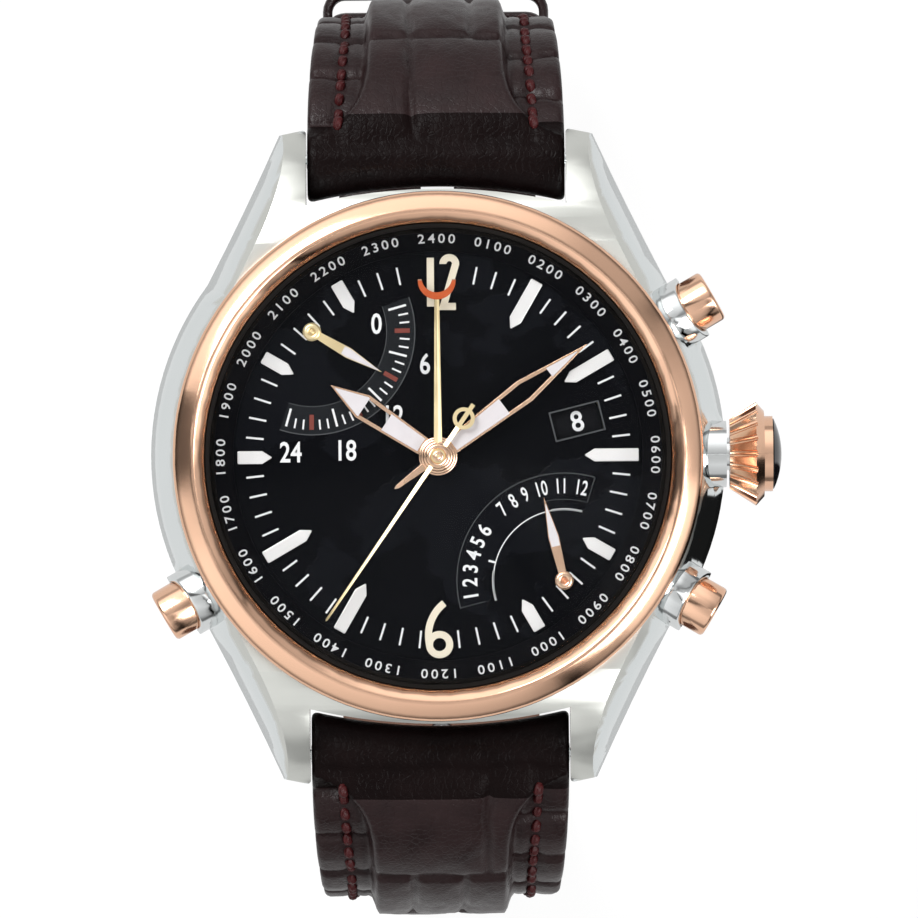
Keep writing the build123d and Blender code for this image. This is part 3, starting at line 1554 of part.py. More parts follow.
def keeper():
    """Rectangular leather loop round the strap, with its slot side along +Y"""
    width = strap_end_width + 2 * keeper_side_gap
    low = -strap_inside_thickness - keeper_skin_gap
    high = strap_outside_thickness + keeper_slot_gap
    middle = Pos(0, (low + high) / 2)
    outer = middle * Rectangle(width + 2 * keeper_thickness, high - low + 2 * keeper_thickness)
    inner = middle * Rectangle(width, high - low)
    return extrude(outer - inner, keeper_length / 2, both=True)


def build_fixed_keeper():
    point = corner_point(fixed_keeper_angle, 0)
    return single(Pos(0, *point) * Rot(-fixed_keeper_angle, 0, 0) * keeper())


def build_free_keeper():
    return single(Pos(0, corner_centre_y + corner_radius, free_keeper_z) * keeper())


def build_buckle_frame():
    """Rectangular frame that turns on its bar at the end of the strap"""
    inner_half = strap_end_width / 2 + buckle_arm_gap
    outer_half = inner_half + buckle_arm_width
    start_y = corner_centre_y + buckle_thickness / 2
    inner_end_y = buckle_end_y + buckle_end_width
    outer = Pos(0, (start_y + buckle_end_y) / 2) * RectangleRounded(
        2 * outer_half, start_y - buckle_end_y, buckle_corner_radius
    )
    open_length = start_y - inner_end_y + overrun
    inner = Pos(0, inner_end_y + open_length / 2) * Rectangle(2 * inner_half, open_length)
    body = Pos(0, 0, sole_height) * extrude(outer - inner, buckle_thickness)
    rim = body.faces().group_by(Axis.Z)
    body = fillet(rim[0].edges() + rim[-1].edges(), buckle_edge_radius)
    notch_half = tongue_width / 2 + tongue_seat_gap
    notch_top = tongue_top_height + tongue_seat_gap
    notch = slab(2 * notch_half, 2 * buckle_length, sole_height - overrun, notch_top)
    body -= Pos(0, buckle_end_y, 0) * notch
    reach = outer_half + overrun
    bar_hole = rod_x(buckle_bar_radius, -reach, reach, sole_middle_height)
    return single(body - Pos(0, corner_centre_y, 0) * bar_hole)


def build_buckle_bar():
    reach = strap_end_width / 2 + buckle_arm_gap + buckle_arm_width - seat_gap
    bar = rod_x(buckle_bar_radius, -reach, reach, sole_middle_height)
    return single(Pos(0, corner_centre_y, 0) * bar)


def build_buckle_tongue():
    """Pin with an eye round the bar, lying in the notch of the frame"""
    half = tongue_width / 2
    eye = rod_x(tongue_ring_radius, -half, half, sole_middle_height)
    length = buckle_length + tongue_tip_length
    shank = slab(tongue_width, length, sole_height, tongue_top_height)
    body = Pos(0, corner_centre_y, 0) * eye
    body += Pos(0, corner_centre_y - length / 2, 0) * shank
    body += Pos(0, corner_centre_y - tongue_ring_radius / 2, 0) * slab(
        tongue_width, tongue_ring_radius, sole_height, sole_middle_height
    )
    bore = rod_x(buckle_bar_radius + buckle_bar_gap, -half - overrun, half + overrun, sole_middle_height)
    return single(body - Pos(0, corner_centre_y, 0) * bore)


def build_all():
    """Every node by name"""
    parts = {
        "case_body": build_case_body(),
        "bezel": build_bezel(),
        "crystal": build_crystal(),
        "crystal_gasket": build_crystal_gasket(),
        "number_ring": build_number_ring(),
        "dial": build_dial(),
        "hour_markers": build_hour_markers(),
        "dial_numerals": build_numerals(),
        "case_back": build_case_back(),
        "case_back_gasket": build_case_back_gasket(),
        "case_back_screws": build_case_back_screws(),
        "movement_holder": build_movement_holder(),
        "main_plate": build_main_plate(),
        "train_bridge": build_train_bridge(),
        "plate_screws": build_plate_screws(),
        "rotor": build_rotor(),
        "intermediate_wheel": build_intermediate_wheel(),
        "second_wheel": build_second_wheel(),
        "third_wheel": build_third_wheel(),
        "minute_wheel": build_minute_wheel(),
        "motion_wheel": build_motion_wheel(),
        "hour_wheel": build_hour_wheel(),
        "world_time_wheel": build_world_time_wheel(),
        "world_time_rotor": build_world_time_rotor(),
        "home_time_wheel": build_sub_wheel(home_place),
        "home_time_rotor": build_sub_rotor(home_place),
        "season_wheel": build_sub_wheel(season_place),
        "season_rotor": build_sub_rotor(season_place),
        "motor_stators": placed_motors(motor_stator()),
        "motor_coils": placed_motors(motor_coil()),
        "battery": build_battery(),
        "battery_clamp": build_battery_clamp(),
        "circuit_board": build_circuit_board(),
        "quartz_resonator": build_quartz(),
        "date_ring": build_date_ring(),
        "hour_hand": build_hour_hand(),
        "minute_hand": build_minute_hand(),
        "world_time_hand": build_world_time_hand(),
        "second_hand": build_second_hand(),
        "home_time_hand": build_sub_hand(home_hand_length, home_hand_angle, home_place),
        "season_hand": build_sub_hand(season_hand_length, season_hand_angle, season_place),
        "crown": build_crown(),
        "crown_cabochon": build_crown_cabochon(),
        "crown_stem": build_crown_stem(),
        "crown_tube": build_crown_tube(),
        "crown_gasket": build_crown_gasket(),
        "setting_lever": build_setting_lever(),
        "pusher_collars": build_pusher_collars(),
        "pusher_springs": build_pusher_springs(),
        "spring_bars": build_spring_bars(),
        "strap_12": build_strap_12(),
        "strap_6": build_strap_6(),
        "fixed_keeper": build_fixed_keeper(),
        "free_keeper": build_free_keeper(),
        "buckle_frame": build_buckle_frame(),
        "buckle_bar": build_buckle_bar(),
        "buckle_tongue": build_buckle_tongue(),
    }
    for name, angle in zip(pusher_names, pusher_angles):
        parts[name] = build_pusher(angle)
    return parts


os.makedirs("parts", exist_ok=True)
for node, shape in build_all().items():
    export_step(shape, f"parts/{node}.step")
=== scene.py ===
import json
from math import atan2, cos, degrees, exp, hypot, pi, radians, sin

import bmesh
import bpy
from mathutils import Matrix, Vector, noise


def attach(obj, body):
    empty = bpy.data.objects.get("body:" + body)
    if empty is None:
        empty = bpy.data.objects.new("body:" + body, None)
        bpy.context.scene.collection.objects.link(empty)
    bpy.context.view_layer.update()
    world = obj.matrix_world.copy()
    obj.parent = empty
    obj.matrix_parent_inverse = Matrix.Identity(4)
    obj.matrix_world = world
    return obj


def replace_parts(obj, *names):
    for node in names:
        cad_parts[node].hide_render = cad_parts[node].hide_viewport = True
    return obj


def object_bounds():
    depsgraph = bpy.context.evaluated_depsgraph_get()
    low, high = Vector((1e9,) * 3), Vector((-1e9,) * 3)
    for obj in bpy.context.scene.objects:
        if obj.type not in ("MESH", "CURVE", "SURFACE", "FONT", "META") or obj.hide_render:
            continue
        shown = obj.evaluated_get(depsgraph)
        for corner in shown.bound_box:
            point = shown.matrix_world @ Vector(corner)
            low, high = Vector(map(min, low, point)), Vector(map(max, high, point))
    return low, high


# Looks of the world time watch. Lengths are in millimetres and turn into metres by this unit.
unit = 0.001

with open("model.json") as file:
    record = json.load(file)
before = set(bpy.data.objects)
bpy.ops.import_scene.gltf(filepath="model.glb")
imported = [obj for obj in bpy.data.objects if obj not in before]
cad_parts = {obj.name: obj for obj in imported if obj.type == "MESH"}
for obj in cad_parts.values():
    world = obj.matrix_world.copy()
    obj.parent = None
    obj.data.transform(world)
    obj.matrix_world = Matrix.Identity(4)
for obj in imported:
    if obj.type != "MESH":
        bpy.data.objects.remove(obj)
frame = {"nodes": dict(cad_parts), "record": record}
nodes = frame["nodes"]
cad_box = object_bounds()
finished = {}

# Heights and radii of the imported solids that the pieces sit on
dial_top = 6.6
date_ring_top = 5.95
ring_foot_radius = 15.7
ring_foot_height = 6.95
ring_edge_radius = 17.3
ring_edge_height = 8.65
sub_dial_offset = 9.6
print_thickness = 0.05


# Building pieces
def place(name, points, faces, looks, body, smooth=True, face_looks=None):
    """A mesh piece that rides on a body, with the names of its looks"""
    mesh = bpy.data.meshes.new(name)
    mesh.from_pydata([[value * unit for value in point] for point in points], [], faces)
    for look in looks:
        mesh.materials.append(finished[look])
    if face_looks:
        mesh.polygons.foreach_set("material_index", face_looks)
    mesh.polygons.foreach_set("use_smooth", [smooth] * len(mesh.polygons))
    mesh.validate()
    mesh.update()
    piece = bpy.data.objects.new(name, mesh)
    bpy.context.scene.collection.objects.link(piece)
    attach(piece, body)
    return piece


def printed(name, parts, look, body="case", spot=(0, 0)):
    """One sharp edged piece from several parts, shifted to a spot"""
    return place(name, *joined([moved(part, shift(*spot)) for part in parts]), (look,), body, smooth=False)


def leather(name, points, faces, body, looks=("croc_leather",), face_looks=None):
    """Piece with its looks, croc leather unless others are given, and its faces turned outwards"""
    piece = place(name, points, faces, looks, body, face_looks=face_looks)
    mend_normals(piece)
    return piece


def mend_normals(piece):
    """Faces turned outwards, and points without faces taken away"""
    work = bmesh.new()
    work.from_mesh(piece.data)
    loose = [vertex for vertex in work.verts if not vertex.link_faces]
    bmesh.ops.delete(work, geom=loose, context="VERTS")
    bmesh.ops.recalc_face_normals(work, faces=work.faces)
    work.to_mesh(piece.data)
    work.free()


def joined(parts):
    """Points and faces of several parts in one list"""
    points, faces = [], []
    for part_points, part_faces in parts:
        start = len(points)
        points += [tuple(point) for point in part_points]
        faces += [tuple(index + start for index in face) for face in part_faces]
    return points, faces


def moved(part, matrix):
    """Part with its points carried by a matrix"""
    points, faces = part
    return [tuple(matrix @ Vector(point)) for point in points], faces


def turn_z(angle):
    return Matrix.Rotation(radians(angle), 4, "Z")


def turn_x(angle):
    return Matrix.Rotation(radians(angle), 4, "X")


def shift(x, y, z=0.0):
    return Matrix.Translation((x, y, z))


def mirrored(points):
    """Points on the other side of the dial, from 12 o'clock to 6 o'clock"""
    return [(x, -y, z) for x, y, z in points]


def around(radius, angle):
    """Point on a circle, with the angle in degrees from 3 o'clock"""
    return (radius * cos(radians(angle)), radius * sin(radians(angle)))


def tube_faces(rings, sides, closed):
    """Four-sided faces between rings of points, round to the first ring where closed"""
    faces = []
    for ring in range(rings if closed else rings - 1):
        first, second = ring * sides, (ring + 1) % rings * sides
        for side in range(sides):
            after = (side + 1) % sides
            faces.append((first + side, second + side, second + after, first + after))
    return faces


def lathe(profile, steps, start=0.0, sweep=360.0):
    """Ring turned about the dial axis from pairs of radius and height"""
    full = sweep >= 360.0
    columns = steps if full else steps + 1
    points = []
    for column in range(columns):
        for radius, height in profile:
            points.append((*around(radius, start + sweep * column / steps), height))
    rows = len(profile)
    faces = tube_faces(columns, rows, full)
    if not full:
        faces.append(tuple(range(rows)))
        faces.append(tuple(reversed(range(steps * rows, (steps + 1) * rows))))
    return points, faces


def curve_part(curve):
    """Points and faces of a curve or text"""
    holder = bpy.data.objects.new("holder", curve)
    bpy.context.scene.collection.objects.link(holder)
    bpy.context.view_layer.update()
    mesh = bpy.data.meshes.new_from_object(holder.evaluated_get(bpy.context.evaluated_depsgraph_get()))
    points = [tuple(vertex.co) for vertex in mesh.vertices]
    faces = [tuple(polygon.vertices) for polygon in mesh.polygons]
    bpy.data.objects.remove(holder)
    bpy.data.meshes.remove(mesh)
    return points, faces


def flat_part(loops, bottom, thickness, bevel):
    """Sheet cut to closed outlines, the ones inside another being holes, with a small bevel"""
    curve = bpy.data.curves.new("outline", "CURVE")
    curve.dimensions = "2D"
    curve.fill_mode = "BOTH"
    curve.extrude = thickness / 2 - bevel
    curve.bevel_depth = bevel
    curve.bevel_resolution = 1
    curve.offset = -bevel
    for loop in loops:
        spline = curve.splines.new("POLY")
        spline.points.add(len(loop) - 1)
        spline.use_cyclic_u = True
        for point, (x, y) in zip(spline.points, loop):
            point.co = (x, y, 0, 1)
    return moved(curve_part(curve), shift(0, 0, bottom + thickness / 2))


def text_part(words, size, bold, width):
    """Figures standing on the dial, centred on their own middle"""
    curve = bpy.data.curves.new("figures", "FONT")
    curve.body = words
    curve.size = size
    curve.align_x = "CENTER"
    curve.extrude = print_thickness / 2
    curve.offset = bold
    curve.resolution_u = 3
    points, faces = curve_part(curve)
    across = [point[0] for point in points]
    along = [point[1] for point in points]
    centre = shift(-(min(across) + max(across)) / 2, -(min(along) + max(along)) / 2)
    return moved(moved((points, faces), centre), Matrix.Diagonal((width, 1, 1, 1)))


# Shader nodes
def add(tree, kind, values=None, **settings):
    """One shader node with its socket values and settings"""
    node = tree.nodes.new("ShaderNode" + kind)
    for key, value in settings.items():
        setattr(node, key, value)
    for key, value in (values or {}).items():
        node.inputs[key].default_value = value
    return node


def link(tree, source, output, target, socket):
    tree.links.new(source.outputs[output], target.inputs[socket])


def colour(red, green, blue):
    return (red, green, blue, 1.0)


def look_base(name, values):
    """Material with its Principled shader and object coordinates"""
    look = bpy.data.materials.new(name)
    look.use_nodes = True
    finished[name] = look
    tree = look.node_tree
    shader = tree.nodes["Principled BSDF"]
    for key, value in values.items():
        shader.inputs[key].default_value = value
    return tree, shader, add(tree, "TexCoord")


def grain(tree, place_node, size, detail=2.0, stretch=(1, 1, 1)):
    """Noise whose spots have a size in millimetres"""
    mapping = add(tree, "Mapping", {"Scale": stretch})
    link(tree, place_node, "Object", mapping, "Vector")
    texture = add(tree, "TexNoise", {"Scale": 1 / (size * unit), "Detail": detail})
    link(tree, mapping, "Vector", texture, "Vector")
    return texture


def ranged(tree, source, output, low, high, start=0.3, end=0.7):
    """Values of a source brought between two limits"""
    node = add(tree, "MapRange", {"From Min": start, "From Max": end, "To Min": low, "To Max": high})
    link(tree, source, output, node, "Value")
    return node


def blended(tree, source, output, dark, light):
    """Colour between two colours by a source, as the node's colour inputs and its colour output"""
    mix = add(tree, "Mix", data_type="RGBA")
    ends = [socket for socket in mix.inputs if socket.type == "RGBA"]
    for socket, value in zip(ends, (dark, light)):
        socket.default_value = colour(*value)
    link(tree, source, output, mix, 0)
    return ends, next(socket for socket in mix.outputs if socket.type == "RGBA")


def coloured(tree, shader, source, output, dark, light, rough, span=(0.3, 0.7)):
    """Colour and roughness that change together with a source"""
    shade = blended(tree, source, output, dark, light)[1]
    tree.links.new(shade, shader.inputs["Base Color"])
    roughness = ranged(tree, source, output, *rough, *span)
    link(tree, roughness, "Result", shader, "Roughness")


def bumped(tree, shader, source, output, depth, under=None):
    """Bump of a depth in millimetres on a shader"""
    bump = add(tree, "Bump", {"Strength": 1.0, "Distance": depth * unit})
    link(tree, source, output, bump, "Height")
    if under:
        link(tree, under, "Normal", bump, "Normal")
    link(tree, bump, "Normal", shader, "Normal")
    return bump


def finish(name, dark, light, rough, patch, pores, depth, values=None, stretch=(1, 1, 1)):
    """Material with patches in colour and roughness and a fine grain"""
    tree, shader, place_node = look_base(name, values or {})
    patches = grain(tree, place_node, patch, stretch=stretch)
    coloured(tree, shader, patches, "Fac", dark, light, rough)
    fine = grain(tree, place_node, pores, detail=3.0, stretch=stretch)
    bumped(tree, shader, fine, "Fac", depth)


metal = {"Metallic": 1.0}
half_metal = {"Metallic": 0.3}

# Dark colour, light colour, roughness from and to, size of patches, size of pores, depth of pores,
# then shader values and stretch where they differ
finishes = {
    "bright_steel": ((0.74, 0.76, 0.76), (0.8, 0.82, 0.82), (0.08, 0.14), 4.0, 0.25, 0.001, metal),
    "rose_gold": ((0.88, 0.54, 0.37), (0.92, 0.58, 0.4), (0.12, 0.18), 4.0, 0.3, 0.001, metal),
    "hand_gold": ((0.96, 0.62, 0.42), (1.0, 0.7, 0.5), (0.2, 0.28), 2.0, 0.08, 0.001, metal),
    "pale_gold": ((0.95, 0.76, 0.42), (1.0, 0.84, 0.52), (0.32, 0.4), 2.0, 0.08, 0.001, metal),
    "marker_silver": ((0.9, 0.89, 0.88), (0.97, 0.96, 0.95), (0.3, 0.38), 2.0, 0.06, 0.002, half_metal),
    "numeral_gold": ((0.95, 0.85, 0.66), (1.0, 0.93, 0.76), (0.3, 0.38), 2.0, 0.06, 0.002, half_metal),
    "plate_brass": ((0.7, 0.55, 0.3), (0.78, 0.62, 0.35), (0.3, 0.4), 3.0, 0.08, 0.003, metal),
    "wheel_brass": ((0.8, 0.6, 0.28), (0.86, 0.68, 0.34), (0.22, 0.32), 1.5, 0.05, 0.002, metal),
    "steel_part": ((0.55, 0.56, 0.58), (0.64, 0.65, 0.66), (0.25, 0.35), 2.0, 0.06, 0.002, metal),
    "coil_copper": (
        (0.6, 0.24, 0.12), (0.75, 0.33, 0.18), (0.35, 0.45), 1.0, 0.06, 0.02, metal, (0.2, 1, 0.2),
    ),
    "battery_steel": ((0.66, 0.66, 0.65), (0.74, 0.74, 0.73), (0.3, 0.4), 3.0, 0.1, 0.003, metal),
    "holder_plastic": ((0.55, 0.55, 0.52), (0.62, 0.62, 0.59), (0.45, 0.55), 3.0, 0.15, 0.01),
    "circuit_green": ((0.01, 0.12, 0.06), (0.02, 0.18, 0.09), (0.35, 0.45), 1.5, 0.1, 0.01),
    "black_gasket": (
        (0.004, 0.0035, 0.003), (0.008, 0.006, 0.005), (0.4, 0.5), 2.0, 0.1, 0.006,
        {"Specular IOR Level": 0.1},
    ),
    "black_ring": (
        (0.0025, 0.0025, 0.0035), (0.004, 0.004, 0.0055), (0.32, 0.4), 2.0, 0.06, 0.003,
        {"Specular IOR Level": 0.06},
    ),
    "date_white": (
        (0.003, 0.0033, 0.0045), (0.006, 0.0065, 0.008), (0.4, 0.5), 2.0, 0.08, 0.003,
        {"Specular IOR Level": 0.08},
    ),
    "print_white": ((0.86, 0.87, 0.88), (0.94, 0.95, 0.96), (0.45, 0.55), 0.8, 0.04, 0.003),
    "print_dim": ((0.045, 0.05, 0.055), (0.075, 0.08, 0.085), (0.45, 0.55), 0.8, 0.04, 0.003),
    "print_red": ((0.17, 0.028, 0.017), (0.25, 0.042, 0.026), (0.45, 0.55), 0.6, 0.04, 0.003),
    "band_grey": (
        (0.009, 0.01, 0.012), (0.014, 0.016, 0.019), (0.3, 0.42), 0.8, 0.1, 0.006,
        {"Specular IOR Level": 0.12},
    ),
    "lume_white": ((0.74, 0.7, 0.72), (0.84, 0.8, 0.82), (0.55, 0.65), 0.7, 0.05, 0.01),
    "orange_paint": ((0.5, 0.07, 0.01), (0.66, 0.125, 0.024), (0.3, 0.4), 0.8, 0.05, 0.004),
    "black_stone": (
        (0.002, 0.002, 0.003), (0.005, 0.0045, 0.006), (0.04, 0.08), 1.5, 0.2, 0.001,
        {"Specular IOR Level": 0.3},
    ),
    "lining_leather": ((0.1, 0.045, 0.028), (0.16, 0.075, 0.045), (0.5, 0.62), 2.5, 0.12, 0.04),
    "edge_paint": ((0.022, 0.01, 0.009), (0.035, 0.017, 0.014), (0.35, 0.45), 1.5, 0.15, 0.02),
}

# Looks with shader nodes of their own: dark colour, light colour, roughness from and to
paints = {
    "croc_leather": ((0.008, 0.0032, 0.0034), (0.024, 0.0095, 0.01), (0.26, 0.42)),
    # Painted shade: the next look is the strap leather in near-black colours, for the roll and the start of
    # the outside where the lugs and bezel shade the strap
    "roll_painted_shade_leather": ((0.003, 0.0015, 0.0015), (0.007, 0.003, 0.003), (0.26, 0.42)),
    "burgundy_thread": ((0.022, 0.0026, 0.003), (0.075, 0.0066, 0.0078), (0.4, 0.55)),
    "black_dial": ((0.0025, 0.0027, 0.0038), (0.0045, 0.005, 0.007), (0.16, 0.3)),
    "crystal_glass": ((0.004, 0.005, 0.006), (0.008, 0.01, 0.012), (0.01, 0.03)),
    "circular_steel": ((0.6, 0.61, 0.6), (0.7, 0.71, 0.7), (0.24, 0.34)),
}

# Embossed leather: specular level and clear coat, then sizes
# The roll's painted shade leather has little gloss and no coat, so its reflections are dimmed as part of the
# painted shade
leathers = {"croc_leather": (0.22, 0.06), "roll_painted_shade_leather": (0.06, 0.0)}
croc_coat_rough = 0.25
croc_patch = 2.6
croc_wrinkle = 0.7
croc_wrinkle_depth = 0.09
croc_wrinkle_stretch = (1.0, 0.35, 0.35)
croc_cell = 0.45
croc_cell_line = 0.12
croc_cell_depth = 0.012


def croc_look(name, gloss, coat):
    """Glossy dark brown embossed leather: colour variation, creased pores and a clear finish"""
    values = {"Coat Weight": coat, "Coat Roughness": croc_coat_rough, "Specular IOR Level": gloss}
    tree, shader, place_node = look_base(name, values)
    patches = grain(tree, place_node, croc_patch, detail=4.0)
    coloured(tree, shader, patches, "Fac", *paints[name])
    wrinkles = grain(tree, place_node, croc_wrinkle, detail=5.0, stretch=croc_wrinkle_stretch)
    cells = add(tree, "TexVoronoi", {"Scale": 1 / (croc_cell * unit)}, feature="DISTANCE_TO_EDGE")
    link(tree, place_node, "Object", cells, "Vector")
    lines = ranged(tree, cells, "Distance", 0.0, 1.0, 0.0, croc_cell_line)
    fine = bumped(tree, shader, lines, "Result", croc_cell_depth)
    bumped(tree, shader, wrinkles, "Fac", croc_wrinkle_depth, under=fine)


thread_patch = 0.35
thread_lean = (0.5, 0.7, 0.6)
twist_size = 0.9
twist_depth = 0.05


def thread_look():
    """Waxed burgundy thread with a twist"""
    tree, shader, place_node = look_base("burgundy_thread", {"Specular IOR Level": 0.25})
    patches = grain(tree, place_node, thread_patch, detail=3.0)
    coloured(tree, shader, patches, "Fac", *paints["burgundy_thread"])
    mapping = add(tree, "Mapping", {"Rotation": thread_lean})
    link(tree, place_node, "Object", mapping, "Vector")
    twist = add(tree, "TexWave", {"Scale": 1 / (twist_size * unit), "Distortion": 0.6})
    link(tree, mapping, "Vector", twist, "Vector")
    bumped(tree, shader, twist, "Fac", twist_depth)


land_size = 13.0
land_stretch = (1.0, 1.25, 0.0)
coast_span = (0.515, 0.53)
land_height = 0.03


def dial_look():
    """Black lacquer with a faint raised relief like the outline of land on a map"""
    tree, shader, place_node = look_base("black_dial", {"Specular IOR Level": 0.05})
    mapping = add(tree, "Mapping", {"Scale": land_stretch})
    link(tree, place_node, "Object", mapping, "Vector")
    land = add(tree, "TexNoise", {"Scale": 1 / (land_size * unit), "Detail": 6.0, "Roughness": 0.52})
    link(tree, mapping, "Vector", land, "Vector")
    coast = ranged(tree, land, "Fac", 0.0, 1.0, *coast_span)
    coloured(tree, shader, coast, "Result", *paints["black_dial"], (0.0, 1.0))
    bumped(tree, shader, coast, "Result", land_height)


smear_size = 6.0


def glass_look():
    """Clear glass with a thin reflection, which lets the light through to the dial"""
    tree, shader, place_node = look_base("crystal_glass", {"IOR": 1.45, "Alpha": 0.05})
    smears = grain(tree, place_node, smear_size)
    coloured(tree, shader, smears, "Fac", *paints["crystal_glass"])


satin_dark = (0.66, 0.67, 0.63)
satin_light = (0.74, 0.75, 0.71)
flank_dark = (0.76, 0.8, 0.8)
flank_light = (0.8, 0.84, 0.84)
case_rough = (0.1, 0.36)
case_patch = 4.0
satin_from = (0.4, 0.44)
brush_size = 0.06
brush_stretch = (1, 0.05, 0.05)
brush_depth = 0.003


def case_look():
    """Satin steel on top of the case and lugs, polished steel on the flanks"""
    tree, shader, place_node = look_base("case_steel", metal)
    patches = grain(tree, place_node, case_patch)
    satin = blended(tree, patches, "Fac", satin_dark, satin_light)[1]
    bright = blended(tree, patches, "Fac", flank_dark, flank_light)[1]
    geometry = add(tree, "NewGeometry")
    parts = add(tree, "SeparateXYZ")
    link(tree, geometry, "Normal", parts, "Vector")
    top = ranged(tree, parts, "Z", 0.0, 1.0, *satin_from)
    (bright_end, satin_end), shade = blended(tree, top, "Result", flank_dark, satin_dark)
    tree.links.new(bright, bright_end)
    tree.links.new(satin, satin_end)
    tree.links.new(shade, shader.inputs["Base Color"])
    roughness = ranged(tree, top, "Result", *case_rough, 0.0, 1.0)
    link(tree, roughness, "Result", shader, "Roughness")
    brushing = grain(tree, place_node, brush_size, detail=3.0, stretch=brush_stretch)
    strength = add(tree, "Math", operation="MULTIPLY")
    link(tree, brushing, "Fac", strength, 0)
    link(tree, top, "Result", strength, 1)
    bumped(tree, shader, strength, "Value", brush_depth)


turned_size = 0.12
turned_depth = 0.004


def circular_look():
    """Steel brushed in circles round the case back's middle"""
    tree, shader, place_node = look_base("circular_steel", metal)
    parts = add(tree, "SeparateXYZ")
    link(tree, place_node, "Object", parts, "Vector")
    square = add(tree, "CombineXYZ")
    link(tree, parts, "X", square, "X")
    link(tree, parts, "Y", square, "Y")
    length = add(tree, "VectorMath", operation="LENGTH")
    link(tree, square, "Vector", length, 0)
    values = {"Scale": 1 / (turned_size * unit), "Detail": 3.0}
    rings = add(tree, "TexNoise", values, noise_dimensions="1D")
    link(tree, length, "Value", rings, "W")
    coloured(tree, shader, rings, "Fac", *paints["circular_steel"])
    bumped(tree, shader, rings, "Fac", turned_depth)


for name, row in finishes.items():
    finish(name, *row)
for name, row in leathers.items():
    croc_look(name, *row)
thread_look()
dial_look()
glass_look()
case_look()
circular_look()

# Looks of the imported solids: for material slots that aren't a look's own name, and for single nodes
slot_looks = {"polished_steel": "bright_steel", "yellow_gold": "hand_gold", "strap_leather": "croc_leather"}
node_looks = {"case_body": "case_steel", "case_back": "circular_steel"}
node_looks |= dict.fromkeys(("hour_hand", "minute_hand", "world_time_hand", "season_hand"), "hand_gold")
node_looks |= dict.fromkeys(("second_hand", "home_time_hand"), "pale_gold")
for row in frame["record"]["subparts"]:
    slot = row["material_slot"]
    look = node_looks.get(row["node"], slot_looks.get(slot, slot))
    materials = nodes[row["node"]].data.materials
    materials.clear()
    materials.append(finished[look])


# Strap path from the spring bar over the shoulder, down the side, round the corner and flat below
bar_y = 22.9
bar_height = 2.7
roll_radius = 2.15
dip_angle = 20.0
shoulder_radius = 15.5
shoulder_centre = (17.5987, -11.8652)
side_run = 34.0
corner_radius = 14.0
corner_centre = (19.0987, -45.8652)
flat_length = 26.747
shoulder_length = shoulder_radius * radians(90.0 - dip_angle)
corner_length = corner_radius * pi / 2
strap_total_12 = shoulder_length + side_run + corner_length
strap_total_6 = strap_total_12 + flat_length

# Widths, thickness and the ends
half_width_at_lugs = 9.9
half_width = 9.11
half_width_at_end = 8.02
end_taper_length = 15.6
taper_start = 1.2
taper_end = 21.0
band_half_thickness = 1.18
edge_round = 0.5
tip_length = 7.0
tip_least_share = 0.02
roll_blend = 2.6
roll_sweep = 160.0
roll_steps = 14
# Length of the outside past the roll that also gets the painted shade leather
painted_shade_reach = 2.4
nose_side_y = 19.55
nose_middle_y = 20.75

# Raised pad
pad_rise = 1.4
pad_half = 5.25
pad_flare = 4.7
pad_flare_start = 0.9
pad_flare_length = 1.7
pad_overreach = 1.0
pad_edge = 0.75
pad_crown = 0.12
pad_before_corner = 1.5
pad_end = shoulder_length + side_run - pad_before_corner
pad_fade = 5.0
pad_groove_share = 0.35

# Scales pressed into the leather
second_split_share = 0.8
second_split_every = 3
split_places = (-4.3, -1.9, 2.7, -3.1, 1.2, 3.6, -2.2, 0.9)
pillow_level_share = 0.4
smooth_roll_share = 0.75
pad_rows = (
    0.55, 9.8, 18.3, 26.6, 34.4, 41.6, 48.2, 54.4, 60.0, 65.4, 70.6, 75.8, 81.0, 86.2, 91.4, 96.6, 102.0,
)
side_row_firsts = (2.6, 4.9)
side_row_pitch = 4.45
side_row_count = 24
left_rows, right_rows = (
    [first + side_row_pitch * index for index in range(side_row_count)] for first in side_row_firsts
)

# Dents in the leather: depth and width
crease = (0.4, 0.24)
pillow = (0.2, 1.3)
pad_groove = (0.12, 0.3)
seam_groove = (0.16, 0.6)

# Uneven lines and skin: depth, size and what is added to the strap half's seed
crease_bend = (0.5, 4.0, 0)
crease_ripple = (0.14, 1.1, 3)
split_bend = (0.35, 3.0, 7)
skin = (0.03, 0.8, 5)
seed_12 = 0
seed_6 = 4

# Seam
stitch_at_lugs = 7.55
stitch_later = 6.95
stitch_step_in = 0.7
stitch_ease_length = 14.0
stitch_length = 1.2
stitch_radius = 0.36
stitch_pitch = 1.34
stitch_lean = 9.0
stitch_narrow_share = 0.55
stitch_dip_share = 0.9
stitch_flat_share = 0.8
stitch_seat_share = 0.45
stitch_rings = 7
stitch_sides = 8
seam_start = 1.9
seam_past_pad = 3.0
seam_before_tip = 10.0
look_ahead = 0.1

# Grid of points, holes, and the loops round the buckle's bar
row_step = 0.3
column_step = 0.28
edge_shares = (0.0, 0.08, 0.25, 0.55)
hole_radius = 0.9
hole_cell_reach = 3
hole_first = 24.0
hole_pitch = 6.5
hole_count = 6
lobe_length = 4.6
lobe_lap = 0.2
lobe_inner = 1.35
lobe_edge = 0.3
lobe_steps = 12

# Looks of a strap half's faces
# The fourth look is painted shade: near-black leather on the roll and the first stretch of the outside, where
# the lugs and bezel shade the strap
strap_looks = ("croc_leather", "lining_leather", "edge_paint", "roll_painted_shade_leather")
outside, lining, painted, painted_shade_roll = range(4)


